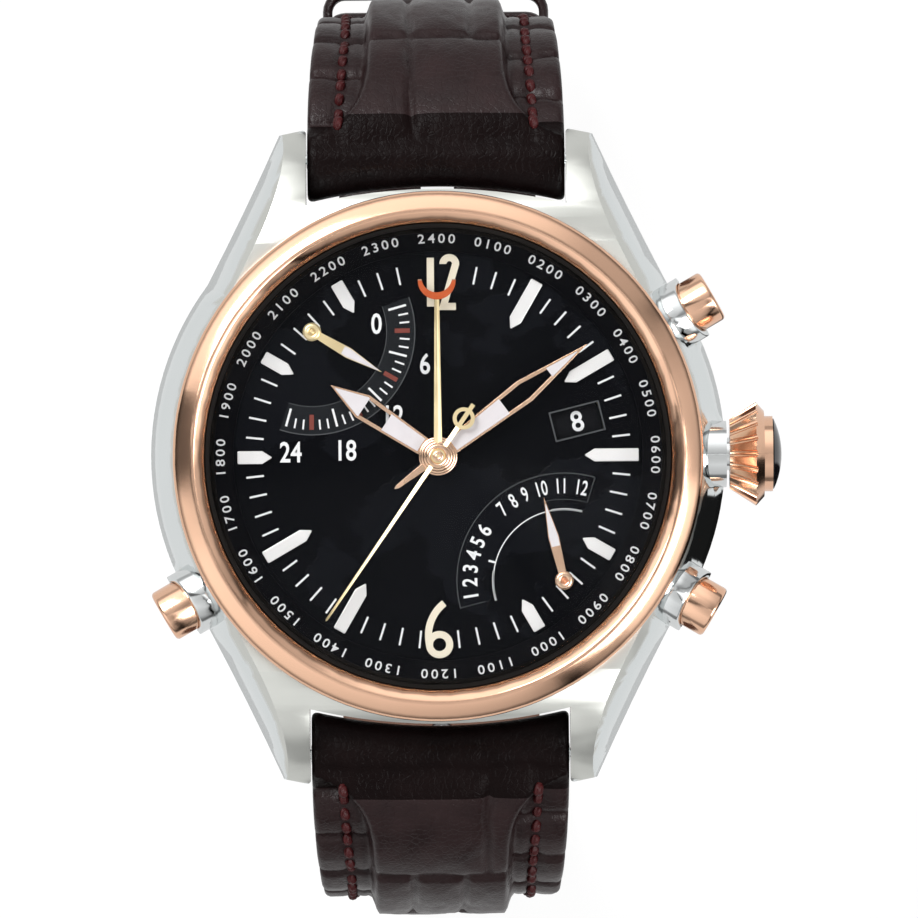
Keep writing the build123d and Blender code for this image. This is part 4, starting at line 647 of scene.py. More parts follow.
def path_point(s, offset):
    """Side view point beside the strap's middle line"""
    if s <= shoulder_length:
        turn = radians(dip_angle) + s / shoulder_radius
        y = shoulder_centre[0] + (shoulder_radius + offset) * sin(turn)
        return y, shoulder_centre[1] + (shoulder_radius + offset) * cos(turn)
    s -= shoulder_length
    if s <= side_run:
        return shoulder_centre[0] + shoulder_radius + offset, shoulder_centre[1] - s
    s -= side_run
    if s <= corner_length:
        turn = s / corner_radius
        y = corner_centre[0] + (corner_radius + offset) * cos(turn)
        return y, corner_centre[1] - (corner_radius + offset) * sin(turn)
    s -= corner_length
    return corner_centre[0] - s, corner_centre[1] - corner_radius - offset


def clamped(value):
    return min(max(value, 0.0), 1.0)


def eased(value):
    """Smooth step between 0 and 1"""
    value = clamped(value)
    return value * value * (3 - 2 * value)


def dent(distance, kind):
    """Depth of a dent at a distance from its middle line"""
    depth, width = kind
    return depth * exp(-(distance / width) ** 2)


def narrowing(s):
    """How far the strap has narrowed towards its end"""
    return clamped((s - shoulder_length) / end_taper_length)


def band_half_width(s, total, pointed):
    """Half of the strap's width at a place along it"""
    from_lugs = eased((s - taper_start) / (taper_end - taper_start))
    width = half_width_at_lugs + (half_width - half_width_at_lugs) * from_lugs
    width -= (half_width - half_width_at_end) * narrowing(s)
    if pointed and s > total - tip_length:
        share = (s - total + tip_length) / tip_length
        width *= max((1 - share * share) ** 0.5, tip_least_share)
    return width


def pad_reach(s):
    """Half of the raised pad's width, flaring to the whole strap at the lugs"""
    flare = pad_flare * exp(-(s - pad_flare_start) / pad_flare_length)
    return min(pad_half + flare, half_width_at_lugs + pad_overreach)


def nearest(value, places):
    return min(abs(value - place) for place in places)


def wobble(x, y, seed, kind):
    """Smooth noise of one kind"""
    depth, size, step = kind
    return depth * noise.noise(Vector((x / size, y / size, seed + step)))


def crease_gap(s, t, seed):
    """Distance to the nearest crease between two scales"""
    bent = s + wobble(t, s, seed, crease_bend) + wobble(t, s, seed, crease_ripple)
    if abs(t) >= pad_reach(s):
        return nearest(bent, left_rows if t < 0 else right_rows)
    row = sum(1 for place in pad_rows if place < bent)
    split = split_places[(row + seed) % len(split_places)]
    side = t + wobble(s, t, seed, split_bend)
    gap = min(nearest(bent, pad_rows), abs(side - split))
    if (row + 1) % second_split_every == 0:
        gap = min(gap, abs(side + split * second_split_share))
    return gap


def stitch_line(s):
    """Distance of the seam from the strap's middle"""
    later = stitch_later - stitch_step_in * narrowing(s)
    return later + (stitch_at_lugs - stitch_later) * eased(1 - s / stitch_ease_length)


def outer_offset(s, t, seed):
    """Height of the strap's outer face over its middle line"""
    pad_fading = eased((pad_end - s) / pad_fade)
    reach = pad_reach(s)
    on_pad = eased((reach + pad_edge / 2 - abs(t)) / pad_edge)
    crown = pad_crown * (1 - min(abs(t) / reach, 1.0) ** 2)
    height = band_half_thickness + pad_fading * on_pad * (pad_rise + crown)
    to_roll = eased(1 - s / roll_blend)
    height += (roll_radius - height) * to_roll
    gap = crease_gap(s, t, seed)
    fade = 1 - smooth_roll_share * to_roll
    scales = dent(gap, crease) + dent(gap, pillow) - pillow[0] * pillow_level_share
    pad_line = pad_fading * dent(abs(t) - reach - pad_edge * pad_groove_share, pad_groove)
    height -= fade * (scales + pad_line + dent(abs(t) - stitch_line(s), seam_groove))
    return height + wobble(s, t, seed, skin)


def edge_drop(distance, radius):
    """How much a face sinks towards its rounded edge"""
    if distance >= radius:
        return 0.0
    return radius - (radius ** 2 - (radius - distance) ** 2) ** 0.5


def strap_columns():
    """Places across the strap, from -1 to 1, closer together at the edges"""
    count = int(2 * half_width_at_lugs / column_step)
    inner = 1 - edge_round / half_width_at_lugs
    middle = [inner * (2 * index / count - 1) for index in range(count + 1)]
    edges = [1 - share * (1 - inner) for share in edge_shares]
    return [-edge for edge in edges] + middle + list(reversed(edges))


def hole_cells(holes, step, middle):
    """Grid cells cut away by the holes, the places of the points round them, and their loops"""
    reach = hole_cell_reach
    square = [(-reach, column) for column in range(-reach, reach)]
    square += [(line, reach) for line in range(-reach, reach)]
    square += [(-line, -column) for line, column in square]
    cells, shifted, loops = set(), {}, []
    for hole in holes:
        row = round(hole / step)
        for line, column in square:
            turn = atan2(line, column)
            spot = (row * step + hole_radius * sin(turn), hole_radius * cos(turn))
            shifted[(row + line, middle + column)] = spot
        loops.append([(row + line, middle + column) for line, column in square])
        span = range(-reach, reach)
        cells |= {(row + line, middle + column) for line in span for column in span}
    return cells, shifted, loops


def strap_point(kind, value, share, half, spot, seed):
    """Point on the strap's outside, roll or inside, at a share of its half width or at a hole's spot"""
    s, t = spot or (value, share * half)
    drop = edge_drop((1 - abs(share)) * half, edge_round) if half > 2 * edge_round else 0.0
    if kind == "out":
        return (t, *path_point(s, outer_offset(s, t, seed) - drop))
    if kind == "in":
        inside = band_half_thickness + (roll_radius - band_half_thickness) * eased(1 - s / roll_blend)
        return (t, *path_point(s, drop - inside))
    turn = radians(value)
    nose = bar_y - nose_middle_y + (nose_middle_y - nose_side_y) * (t / half) ** 2
    reach = nose if sin(turn) < 0 else roll_radius
    return t, bar_y + (reach - drop) * sin(turn), bar_height + (roll_radius - drop) * cos(turn)


def edge_faces(rows, width, outs, rolls, loops):
    """Painted edges: the end, the holes' walls, both sides and both ends of the roll"""
    last = (rows - 1) * width
    faces = [(last + column, last + column + 1, column + 1, column) for column in range(width - 1)]
    for loop in loops:
        for (row, column), (after_row, after_column) in zip(loop, loop[1:] + loop[:1]):
            faces.append((
                (outs - 1 - row) * width + column, (outs - 1 - after_row) * width + after_column,
                (outs + rolls + after_row) * width + after_column, (outs + rolls + row) * width + column,
            ))
    for side in (0, width - 1):
        for index in range(outs - 1):
            level = last - index * width
            first = index * width
            faces.append((first + side, first + width + side, level - width + side, level + side))
        faces.append(tuple(index * width + side for index in range(outs - 1, outs + rolls + 1)))
    return faces


def strap_half(name, body, total, seed, pointed, flipped, holes=()):
    """Leather of one strap half: embossed outside, lining inside, painted edges"""
    columns = strap_columns()
    width = len(columns)
    count = int(total / row_step)
    places = [total * index / count for index in range(count + 1)]
    cells, shifted, loops = hole_cells(holes, places[1], width // 2)
    rolls = [dip_angle - roll_sweep * index / roll_steps for index in range(1, roll_steps)]
    rows = [("out", s) for s in reversed(places)] + [("roll", turn) for turn in rolls]
    rows += [("in", s) for s in places]
    points, faces, looks = [], [], []
    for number, (kind, value) in enumerate(rows):
        level = count - number if kind == "out" else number - count - 1 - len(rolls)
        half = band_half_width(0.0 if kind == "roll" else value, total, pointed)
        for column, share in enumerate(columns):
            spot = shifted.get((level, column))
            points.append(strap_point(kind, value, share, half, spot, seed))
        if number == len(rows) - 1:
            break
        if kind == "out":
            level -= 1
        # Painted shade: the roll and the start of the outside get the near-black leather
        dark = kind == "roll" or level * places[1] < painted_shade_reach
        look = lining if kind == "in" else painted_shade_roll if dark else outside
        for column in range(width - 1):
            if (level, column) not in cells:
                first = number * width + column
                faces.append((first, first + 1, first + width + 1, first + width))
                looks.append(look)
    edges = edge_faces(len(rows), width, len(places), len(rolls), loops)
    looks += [painted] * len(edges)
    points = mirrored(points) if flipped else points
    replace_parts(leather(name, points, faces + edges, body, strap_looks, looks), body)


def stitch_part():
    """One stitch: a plump thread that dips into the leather at both ends"""
    points = []
    for ring in range(stitch_rings):
        share = ring / (stitch_rings - 1) * 2 - 1
        fat = stitch_radius * (1 - stitch_narrow_share * share ** 4)
        lift = -stitch_radius * stitch_dip_share * share * share
        for side in range(stitch_sides):
            turn = 2 * pi * side / stitch_sides
            height = lift + fat * stitch_flat_share * sin(turn)
            points.append((fat * cos(turn), share * stitch_length / 2, height))
    last = (stitch_rings - 1) * stitch_sides
    ends = [tuple(reversed(range(stitch_sides))), tuple(range(last, last + stitch_sides))]
    return points, ends + tube_faces(stitch_rings, stitch_sides, False)


def seam(name, body, seed, end, flipped):
    """Both rows of stitches of a strap half"""
    stitch = stitch_part()
    parts = []
    for side in (-1, 1):
        for index in range(int((end - seam_start) / stitch_pitch)):
            s = seam_start + index * stitch_pitch
            t = side * stitch_line(s)
            offset = outer_offset(s, t, seed) + stitch_radius * stitch_seat_share
            y, z = path_point(s, offset)
            ahead = path_point(s + look_ahead, offset)
            lean = degrees(atan2(ahead[1] - z, ahead[0] - y))
            parts.append(moved(stitch, shift(t, y, z) @ turn_x(lean) @ turn_z(stitch_lean * side)))
    points, faces = joined(parts)
    points = mirrored(points) if flipped else points
    leather(name, points, faces, body, ("burgundy_thread",))


def buckle_lobes():
    """Leather loops at both sides of the tongue, round the buckle's bar"""
    thick = band_half_thickness
    start = strap_total_12 - lobe_length - lobe_lap
    outline = [(start, thick), (strap_total_12, thick)]
    for index in range(1, lobe_steps):
        turn = pi * index / lobe_steps
        outline.append((strap_total_12 + thick * sin(turn), thick * cos(turn)))
    outline += [(strap_total_12, -thick), (start, -thick)]
    columns = (
        (lobe_inner, lobe_edge), (lobe_inner + lobe_edge, 0.0),
        (half_width_at_end - lobe_edge, 0.0), (half_width_at_end, lobe_edge),
    )
    points = []
    for x, drop in columns:
        points += [(x, *path_point(s, offset * (1 - drop / thick))) for s, offset in outline]
    count = len(outline)
    faces = tube_faces(len(columns), count, False)
    faces += [tuple(range(count)), tuple(range(len(points) - count, len(points)))]
    other = [(-x, y, z) for x, y, z in points]
    leather("strap_12_loops", *joined([(points, faces), (other, faces)]), "strap_12")


strap_half("strap_12_leather", "strap_12", strap_total_12 - lobe_length, seed_12, False, False)
buckle_lobes()
hole_places = [strap_total_6 - hole_first - hole_pitch * index for index in range(hole_count)]
strap_half("strap_6_leather", "strap_6", strap_total_6, seed_6, True, True, hole_places)
seam("strap_12_seam", "strap_12", seed_12, pad_end + seam_past_pad, False)
seam("strap_6_seam", "strap_6", seed_6, strap_total_6 - seam_before_tip, True)


# Printing on the dial and its ring
ring_slope = degrees(atan2(ring_edge_height - ring_foot_height, ring_edge_radius - ring_foot_radius))
ring_text_radius = 16.7
ring_text_height = 8.01
ring_figure_step = 0.78
ring_count = 24
tick_outer = 14.8
tick_inner = 13.45
tick_width = 0.15
minute_count = 60
hidden_minutes = (1, 59)

# Figures: size, boldness and width share
ring_style = (1.42, 0.012, 0.8)
home_style = (2.2, 0.035, 0.78)
date_styles = ((2.2, 0.03, 0.92), (2.2, 0.03, 0.72))

# Date ring and its window
date_face_inner = 8.95
date_face_outer = 12.85
date_face_rise = 0.02
date_face_steps = 124
date_count = 31
date_shown = 8
date_radius = 11.0
date_angle = 13.7
window_half_length = 1.98
window_half_width = 1.17
window_line = 0.11

# Scale of 24 hours, round its own corner of the dial. Angles are counted clockwise from 12 o'clock.
home_place = (-sub_dial_offset, sub_dial_offset)
home_start = 198.7
home_end = 70.6
home_band = (5.75, 7.85)
home_rims = ((7.85, 7.93), (5.7, 5.75))
band_sink_share = 0.4
tick_rise_share = 0.6
hour_scale_step = 5.06
hour_scale_start = 74.4
# Inner radius, outer radius and width of the ticks, and their order in a quarter of the scale
long_tick = (6.1, 7.5, 0.17)
red_tick = (6.35, 7.5, 0.34)
short_tick = (6.75, 7.5, 0.13)
quarter_ticks = (long_tick, short_tick, short_tick, red_tick, short_tick, short_tick)
home_figure_places = (
    ("0", -4.65, 10.2), ("6", -0.95, 7.1), ("12", -3.3, 3.15), ("18", -6.95, 0.5), ("24", -11.3, 0.4),
)

# Lower right scale: arcs as inner radius, outer radius, start and end; bars as inner radius, outer radius,
# width and angle; figures as their signs, distance between signs, middle angle and style
season_place = (sub_dial_offset, -sub_dial_offset)
season_arcs = ((5.4, 5.48, 375.0, 254.0), (5.38, 5.53, 278.0, 254.0), (5.38, 5.53, 375.0, 350.0))
season_bars = ((5.45, 6.0, 0.16, 285.0),)
season_rim_arcs = ((8.2, 8.27, 377.0, 255.0), (6.2, 6.24, 377.0, 344.0))
season_rim_bars = ((6.24, 8.2, 0.05, 377.0), (6.24, 8.2, 0.05, 255.5))
season_figure_radius = 7.25
season_figures = (
    ("123456", 1.06, 281.8, (1.6, 0.03, 0.85)),
    ("7 8 9 10 11 12", 0.52, 346.2, (1.6, 0.02, 0.62)),
)


def clock(angle):
    """Angle from 3 o'clock of an angle counted clockwise from 12 o'clock"""
    return 90.0 - angle


def bar_part(inner, outer, width, angle, bottom=dial_top):
    """Thin printed bar along a radius"""
    half = width / 2
    outline = [(inner, -half), (outer, -half), (outer, half), (inner, half)]
    return moved(flat_part([outline], bottom, print_thickness, 0.0), turn_z(clock(angle)))


def arc_part(inner, outer, start, end, bottom=dial_top, steps=64):
    """Printed arc between two angles"""
    top = bottom + print_thickness
    profile = ((inner, bottom), (outer, bottom), (outer, top), (inner, top))
    return lathe(profile, steps, start=clock(start), sweep=start - end)


def figures_on_arc(words, step, angle, style, radius, bottom, slope=0.0):
    """Figures one by one round a circle, with their tops outwards"""
    parts = []
    for index, sign in enumerate(words):
        if sign != " ":
            turn = degrees((index - (len(words) - 1) / 2) * step / radius)
            figure = text_part(sign, *style)
            spot = turn_z(-angle - turn) @ shift(0, radius, bottom) @ turn_x(slope)
            parts.append(moved(figure, spot))
    return parts


def ring_figures():
    """Hours of the day round the sloping ring"""
    parts = []
    for hour in range(ring_count):
        words = f"{(hour or ring_count) * 100:04d}"
        angle = 360.0 / ring_count * hour
        parts += figures_on_arc(
            words, ring_figure_step, angle, ring_style, ring_text_radius, ring_text_height, ring_slope,
        )
    printed("ring_figures", parts, "print_white")


def minute_ticks():
    """Short lines between the hour bars"""
    shown = [minute for minute in range(minute_count) if minute % 5 and minute not in hidden_minutes]
    parts = [bar_part(tick_inner, tick_outer, tick_width, 360.0 / minute_count * minute) for minute in shown]
    printed("minute_ticks", parts, "print_white")


def home_scale():
    """Scale of 24 hours in the upper left, on a grey band"""
    band = arc_part(*home_band, home_start, home_end, dial_top - print_thickness * band_sink_share)
    rims = [arc_part(*rim, home_start, home_end) for rim in home_rims]
    tick_bottom = dial_top + print_thickness * tick_rise_share
    white, red = [], []
    for hour in range(ring_count + 1):
        kind = quarter_ticks[hour % len(quarter_ticks)]
        tick = bar_part(*kind, hour_scale_start + hour_scale_step * hour, tick_bottom)
        (red if kind is red_tick else white).append(tick)
    figures = []
    for words, x, y in home_figure_places:
        figures.append(moved(text_part(words, *home_style), shift(x, y, dial_top)))
    printed("home_band", [band], "band_grey", spot=home_place)
    printed("home_band_rims", rims, "print_dim", spot=home_place)
    printed("home_ticks", white, "print_white", spot=home_place)
    printed("home_red_ticks", red, "print_red", spot=home_place)
    printed("home_figures", figures, "print_white")


def season_scale():
    """Arc of the lower right hand with plain figures"""
    lines = [arc_part(*row) for row in season_arcs] + [bar_part(*row) for row in season_bars]
    rims = [arc_part(*row) for row in season_rim_arcs] + [bar_part(*row) for row in season_rim_bars]
    figures = []
    for row in season_figures:
        figures += figures_on_arc(*row, season_figure_radius, dial_top)
    printed("season_arcs", lines, "print_white", spot=season_place)
    printed("season_rims", rims, "print_dim", spot=season_place)
    printed("season_figures", figures, "print_white", spot=season_place)


def date_figures():
    """Days of the month on the date ring, upright as they pass the window"""
    parts = []
    for day in range(1, date_count + 1):
        angle = date_angle - 360.0 / date_count * (day - date_shown)
        figure = text_part(str(day), *date_styles[len(str(day)) - 1])
        parts.append(moved(figure, turn_z(angle) @ shift(date_radius, 0, date_ring_top)))
    printed("date_figures", parts, "print_white", "date")


def window_edge():
    """Thin frame round the date window"""
    loops = []
    for inset in (0.0, window_line):
        x, y = window_half_length - inset, window_half_width - inset
        loops.append([(-x, -y), (x, -y), (x, y), (-x, y)])
    edge = flat_part(loops, dial_top, print_thickness, 0.0)
    printed("window_edge", [moved(edge, turn_z(date_angle) @ shift(date_radius, 0))], "print_dim")


def date_face():
    """Black printed face of the date ring"""
    low, high = date_ring_top - date_face_rise, date_ring_top + date_face_rise
    profile = (
        (date_face_inner, low), (date_face_outer, low), (date_face_outer, high), (date_face_inner, high),
    )
    printed("date_face", [lathe(profile, date_face_steps)], "date_white", "date")


ring_figures()
minute_ticks()
date_face()
home_scale()
season_scale()
date_figures()
window_edge()


# Tops of the hands, and their angles from 3 o'clock as the photograph shows them
hour_hand_top = 7.44
minute_hand_top = 7.76
world_hand_top = 8.08
second_hand_top = 8.4
sub_hand_top = 7.14
hour_angle = 146.1
minute_angle = 36.5
second_angle = 235.3
second_tail_angle = 55.3
world_angle = 90.0
home_angle = -30.4
season_angle = 103.4

# Luminous fillings
lume_rise = 0.05
lume_sink = 0.01
lume_bevel = 0.015
lume_border = 0.17
sub_lume_border = 0.06
lume_least_half = 0.03
main_root_share = 0.65
sub_hand_half = 0.41
sub_widest_share = 0.52
hour_fillings = ((1.55, 4.75), (6.8, 9.45))
minute_fillings = ((1.45, 6.35), (10.67, 13.3))
# Piece, body, angle, height, length, place of the widest point, half width there, ends of both fillings
main_lumes = (
    ("hour_lume", "hour", hour_angle, hour_hand_top, 9.9, 6.93, 1.0, hour_fillings),
    ("minute_lume", "minute", minute_angle, minute_hand_top, 14.35, 8.32, 0.95, minute_fillings),
)
# Piece, body, angle, middle, length, ends of the filling
sub_lumes = (
    ("home_lume", "home_time", home_angle, home_place, 6.2, (2.75, 5.9)),
    ("season_lume", "season", season_angle, season_place, 6.6, (2.7, 6.0)),
)

# Hubs: piece, body, middle, height, look, then inner radius, outer radius, low and high end of each step
hub_edge_share = 0.18
hub_steps = 96
sub_hub = ((0.24, 0.66, -0.02, 0.12),)
sub_pin = ((0.0, 0.2, -0.02, 0.06),)
second_hub = ((0.55, 0.95, -0.02, 0.1), (0.1, 0.44, 0.1, 0.18))
hubs = (
    ("home_hub", "home_time", home_place, sub_hand_top, "pale_gold", sub_hub),
    ("season_hub", "season", season_place, sub_hand_top, "hand_gold", sub_hub),
    ("home_pin", "home_time", home_place, sub_hand_top, "plate_brass", sub_pin),
    ("season_pin", "season", season_place, sub_hand_top, "coil_copper", sub_pin),
    ("hour_hub", "hour", (0, 0), hour_hand_top, "hand_gold", ((1.2, 1.5, -0.02, 0.06),)),
    ("minute_hub", "minute", (0, 0), minute_hand_top, "hand_gold", ((1.0, 1.35, -0.02, 0.07),)),
    ("world_hub", "world_time", (0, 0), world_hand_top, "hand_gold", ((0.75, 1.15, -0.02, 0.08),)),
    ("second_hub", "second", (0, 0), second_hand_top, "hand_gold", second_hub),
)

# Ridges along the needles: piece, body, angle, height, pairs of place and half width, height of the ridge
ridges = (
    ("world_ridge", "world_time", world_angle, world_hand_top, ((1.0, 0.31), (12.0, 0.18)), 0.1),
    ("second_ridge", "second", second_angle, second_hand_top, ((0.8, 0.17), (15.2, 0.07)), 0.07),
    ("second_tail_ridge", "second", second_tail_angle, second_hand_top, ((0.8, 0.17), (2.66, 0.17)), 0.07),
)

# Crescent
crescent_outer = 1.45
crescent_thick = 0.55
crescent_middle = 13.45
crescent_start = 88.0
crescent_sweep = 184.0
crescent_steps = 36
crescent_sink = 0.02
crescent_height = 0.09
crescent_bevel = 0.03
crescent_slack = 0.001


def blade_half(x, length, widest, root, half):
    """Half width of an arrow-like hand at a distance from its hub"""
    if x < widest:
        return root + (half - root) * x / widest
    return half * (length - x) / (length - widest)


def lume_fill(length, widest, root, half, ends, top, border):
    """White filling of a hand between two places along it"""
    start, end = ends
    places = [start] + ([widest] if start < widest < end else []) + [end]
    halves = [max(blade_half(x, length, widest, root, half) - border, lume_least_half) for x in places]
    right = [(x, -y) for x, y in zip(places, halves)]
    left = [(x, -y) for x, y in reversed(right)]
    return flat_part([right + left], top - lume_sink, lume_rise, lume_bevel)


def main_lume(name, body, angle, top, length, widest, half, fillings):
    """Both fillings of a hand with a window"""
    root = half * main_root_share
    parts = [lume_fill(length, widest, root, half, ends, top, lume_border) for ends in fillings]
    printed(name, [moved(joined(parts), turn_z(angle))], "lume_white", body)


def sub_lume(name, body, angle, spot, length, ends):
    """White filling of a small hand"""
    root = sub_hand_half * main_root_share
    widest = length * sub_widest_share
    part = lume_fill(length, widest, root, sub_hand_half, ends, sub_hand_top, sub_lume_border)
    printed(name, [moved(part, turn_z(angle))], "lume_white", body, spot)


def hub_rings(name, body, spot, top, look, rings):
    """Round steps and grooves turned into a hub"""
    parts = []
    for inner, outer, low, high in rings:
        edge = (outer - inner) * hub_edge_share
        profile = (
            (inner, low), (outer, low), (outer, high - edge),
            (outer - edge, high), (inner + edge, high), (inner, high - edge),
        )
        parts.append(moved(lathe(profile, hub_steps), shift(*spot, top)))
    place(name, *joined(parts), (look,), body)


def ridge(name, body, angle, top, outline, height):
    """Roof-like ridge along a needle"""
    points, faces = [], []
    for x, half in outline:
        points += [(x, -half, 0.0), (x, 0.0, height), (x, half, 0.0)]
    last = len(points) - 3
    for first in range(0, last, 3):
        faces += [(first, first + 3, first + 4, first + 1), (first + 1, first + 4, first + 5, first + 2)]
        faces.append((first, first + 2, first + 5, first + 3))
    faces += [(0, 1, 2), (last, last + 2, last + 1)]
    mend_normals(printed(name, [moved((points, faces), turn_z(angle) @ shift(0, 0, top))], "pale_gold", body))


def crescent():
    """Orange crescent at the world time needle's tip"""
    small = crescent_outer - crescent_thick / 2
    edge, inside = [], []
    for index in range(crescent_steps + 1):
        turn = radians(crescent_start + crescent_sweep * index / crescent_steps)
        edge.append((crescent_middle + crescent_outer * cos(turn), crescent_outer * sin(turn)))
        inside.append((crescent_middle + crescent_thick / 2 + small * cos(turn), small * sin(turn)))
    loop = edge + [point for point in reversed(inside) if point[0] < edge[0][0] + crescent_slack]
    part = flat_part([loop], world_hand_top - crescent_sink, crescent_height, crescent_bevel)
    place("world_crescent", *moved(part, turn_z(world_angle)), ("orange_paint",), "world_time")


for row in main_lumes:
    main_lume(*row)
for row in sub_lumes:
    sub_lume(*row)
for row in hubs:
    hub_rings(*row)
for row in ridges:
    ridge(*row)
crescent()


# Keepers
keeper_half = 8.32
keeper_low = -1.5
keeper_high = 3.7
keeper_thickness = 0.75
keeper_half_length = 2.5
keeper_length_steps = 20
keeper_corner = 1.0
keeper_corner_steps = 6
keeper_side_step = 1.2
keeper_swell = 0.14
keeper_groove = (0.1, 0.13)
keeper_groove_place = 0.75
keeper_round = 0.28
free_keeper_height = -42.465
fixed_keeper_turn = radians(30.0)


def rounded_loop(half, low, high, corner):
    """Points and outward normals round a rectangle with rounded corners"""
    loop = []
    middles = (
        (half - corner, high - corner), (-half + corner, high - corner),
        (-half + corner, low + corner), (half - corner, low + corner),
    )
    for quarter, (x, n) in enumerate(middles):
        for index in range(keeper_corner_steps + 1):
            turn = pi / 2 * (quarter + index / keeper_corner_steps)
            loop.append((x + corner * cos(turn), n + corner * sin(turn), cos(turn), sin(turn)))
    dense = []
    for first, after in zip(loop, loop[1:] + loop[:1]):
        span = hypot(after[0] - first[0], after[1] - first[1])
        count = max(1, int(span / keeper_side_step))
        for index in range(count):
            share = index / count
            dense.append(tuple(a + (b - a) * share for a, b in zip(first, after)))
    return dense


def keeper_profile():
    """Section of the keeper's leather: place along the strap and distance out from the inside"""
    points = []
    for index in range(keeper_length_steps + 1):
        share = index / keeper_length_steps * 2 - 1
        s = share * keeper_half_length
        edge = keeper_half_length - abs(s)
        height = keeper_thickness - keeper_swell * share ** 2
        height -= dent(edge - keeper_groove_place, keeper_groove)
        points.append((s, height - edge_drop(edge, keeper_round)))
    return points + [(keeper_half_length, 0.0), (-keeper_half_length, 0.0)]


def keeper_loop(name, node, body, spot, out, along):
    """Leather loop round the strap at a place, with its outward and lengthwise ways in side view"""
    profile = keeper_profile()
    loop = rounded_loop(keeper_half, keeper_low, keeper_high, keeper_corner)
    points = []
    for x, n, way_x, way_n in loop:
        for s, height in profile:
            away = n + way_n * height
            y, z = (spot[axis] + out[axis] * away + along[axis] * s for axis in (0, 1))
            points.append((x + way_x * height, y, z))
    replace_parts(leather(name, points, tube_faces(len(loop), len(profile), True), body), node)


out_y, out_z = cos(fixed_keeper_turn), -sin(fixed_keeper_turn)
free_spot = (shoulder_centre[0] + shoulder_radius, free_keeper_height)
fixed_spot = (corner_centre[0] + corner_radius * out_y, corner_centre[1] + corner_radius * out_z)
keeper_loop("free_keeper_leather", "free_keeper", "free_keeper", free_spot, (1.0, 0.0), (0.0, -1.0))
keeper_loop("fixed_keeper_leather", "fixed_keeper", "strap_12", fixed_spot, (out_y, out_z), (out_z, -out_y))


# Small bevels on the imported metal: nodes by width
weld_distance = 0.001
bevel_angle = 35.0
bevelled = {
    0.2: ("buckle_frame",),
    0.18: ("bezel",),
    0.15: ("case_back", "buckle_tongue"),
    0.12: ("case_body", "pusher_2", "pusher_4", "pusher_8"),
    0.09: ("hour_markers",),
    0.08: ("dial_numerals", "pusher_collars"),
    0.05: ("case_back_screws",),
    0.03: ("hour_hand", "minute_hand"),
}
for width, names in bevelled.items():
    for node in names:
        weld = nodes[node].modifiers.new("join", "WELD")
        weld.merge_threshold = weld_distance * unit
        bevel = nodes[node].modifiers.new("edges", "BEVEL")
        bevel.width = width * unit
        bevel.segments = 2
        bevel.limit_method = "ANGLE"
        bevel.angle_limit = radians(bevel_angle)
        bevel.harden_normals = True


# Studio: camera, lights, floor
camera_distance = 1000.0
camera_centre = (1.6, -0.23, 4.0)
camera_roll = -0.45
camera_clip = (0.01, 20.0)
frame_width = 70.6
sensor_width = 36.0
floor_height = cad_box[0][2] / unit
floor_half = 900.0

# Lamps: energy in watts, size and place. They point at the dial's middle.
lamps = {
    "key": (1.9, 260, (-230, 260, 420)),
    "fill": (1.1, 260, (280, -160, 400)),
}

# Floor: dark patch's start angle, end angle and soft edge in degrees, then brightness and colours
floor_dark_band = (-27.0, -5.0, 1.0)
floor_mirror_glow = 0.8
floor_dark_glow = 0.01
floor_camera_glow = 0.84
floor_shade_colour = (0.2, 0.2, 0.2)
floor_colour = (0.8, 0.8, 0.8)
white = (1.0, 1.0, 1.0)

# Horizon seen in polished metal: start angle, end angle, soft edge, brightness added
horizon_glow = 1.08
horizon_bands = (
    (72.0, 158.0, 8.0, 0.15),
    (-44.0, -6.0, 3.0, 2.0),
    (20.0, 60.0, 8.0, -0.45),
    (31.0, 36.0, 1.0, -0.4),
    (-62.0, -55.5, 0.7, -1.25),
    (-160.0, -68.0, 4.0, 0.4),
    (165.0, 181.0, 1.0, -0.97),
    (-181.0, -173.0, 1.0, -0.97),
)
# Brightness shares towards the horizon and the zenith, with the heights between which they change
low_share = 0.3
low_heights = (0.16, 0.3)
high_share = 0.62
high_heights = (0.8, 0.98)
side_slope = (-0.34, 0.5, 0.0)
world_light = 0.55
world_white = 1.0


def set_camera():
    data = bpy.data.cameras.new("camera")
    data.sensor_width = sensor_width
    data.lens = sensor_width * camera_distance / frame_width
    data.clip_start, data.clip_end = camera_clip
    camera = bpy.data.objects.new("camera", data)
    bpy.context.scene.collection.objects.link(camera)
    spot = (Vector(camera_centre) + Vector((0, 0, camera_distance))) * unit
    camera.matrix_world = Matrix.Translation(spot) @ turn_z(camera_roll)
    bpy.context.scene.camera = camera


def lamp(name, energy, size, spot):
    """Softbox at a place in millimetres"""
    data = bpy.data.lights.new(name, "AREA")
    data.energy = energy
    data.size = size * unit
    light = bpy.data.objects.new(name, data)
    bpy.context.scene.collection.objects.link(light)
    way = Vector(spot).to_track_quat("Z", "Y").to_matrix().to_4x4()
    light.matrix_world = Matrix.Translation(Vector(spot) * unit) @ way


def azimuth_of(tree, source, output):
    """Compass angle of a vector, and the node with the vector's parts"""
    parts = add(tree, "SeparateXYZ")
    link(tree, source, output, parts, "Vector")
    azimuth = add(tree, "Math", operation="ARCTAN2")
    link(tree, parts, "Y", azimuth, 0)
    link(tree, parts, "X", azimuth, 1)
    return azimuth, parts


def product(tree, first, first_output, second, second_output):
    both = add(tree, "Math", operation="MULTIPLY")
    link(tree, first, first_output, both, 0)
    link(tree, second, second_output, both, 1)
    return both


def band_mask(tree, azimuth, start, end, edge):
    """One between two compass angles in degrees, fading over an edge"""
    slopes = []
    for before, after in ((start - edge, start + edge), (end + edge, end - edge)):
        ends = {"From Min": radians(before), "From Max": radians(after)}
        slopes.append(add(tree, "MapRange", ends, interpolation_type="SMOOTHSTEP"))
        link(tree, azimuth, "Value", slopes[-1], "Value")
    return product(tree, slopes[0], "Result", slopes[1], "Result")


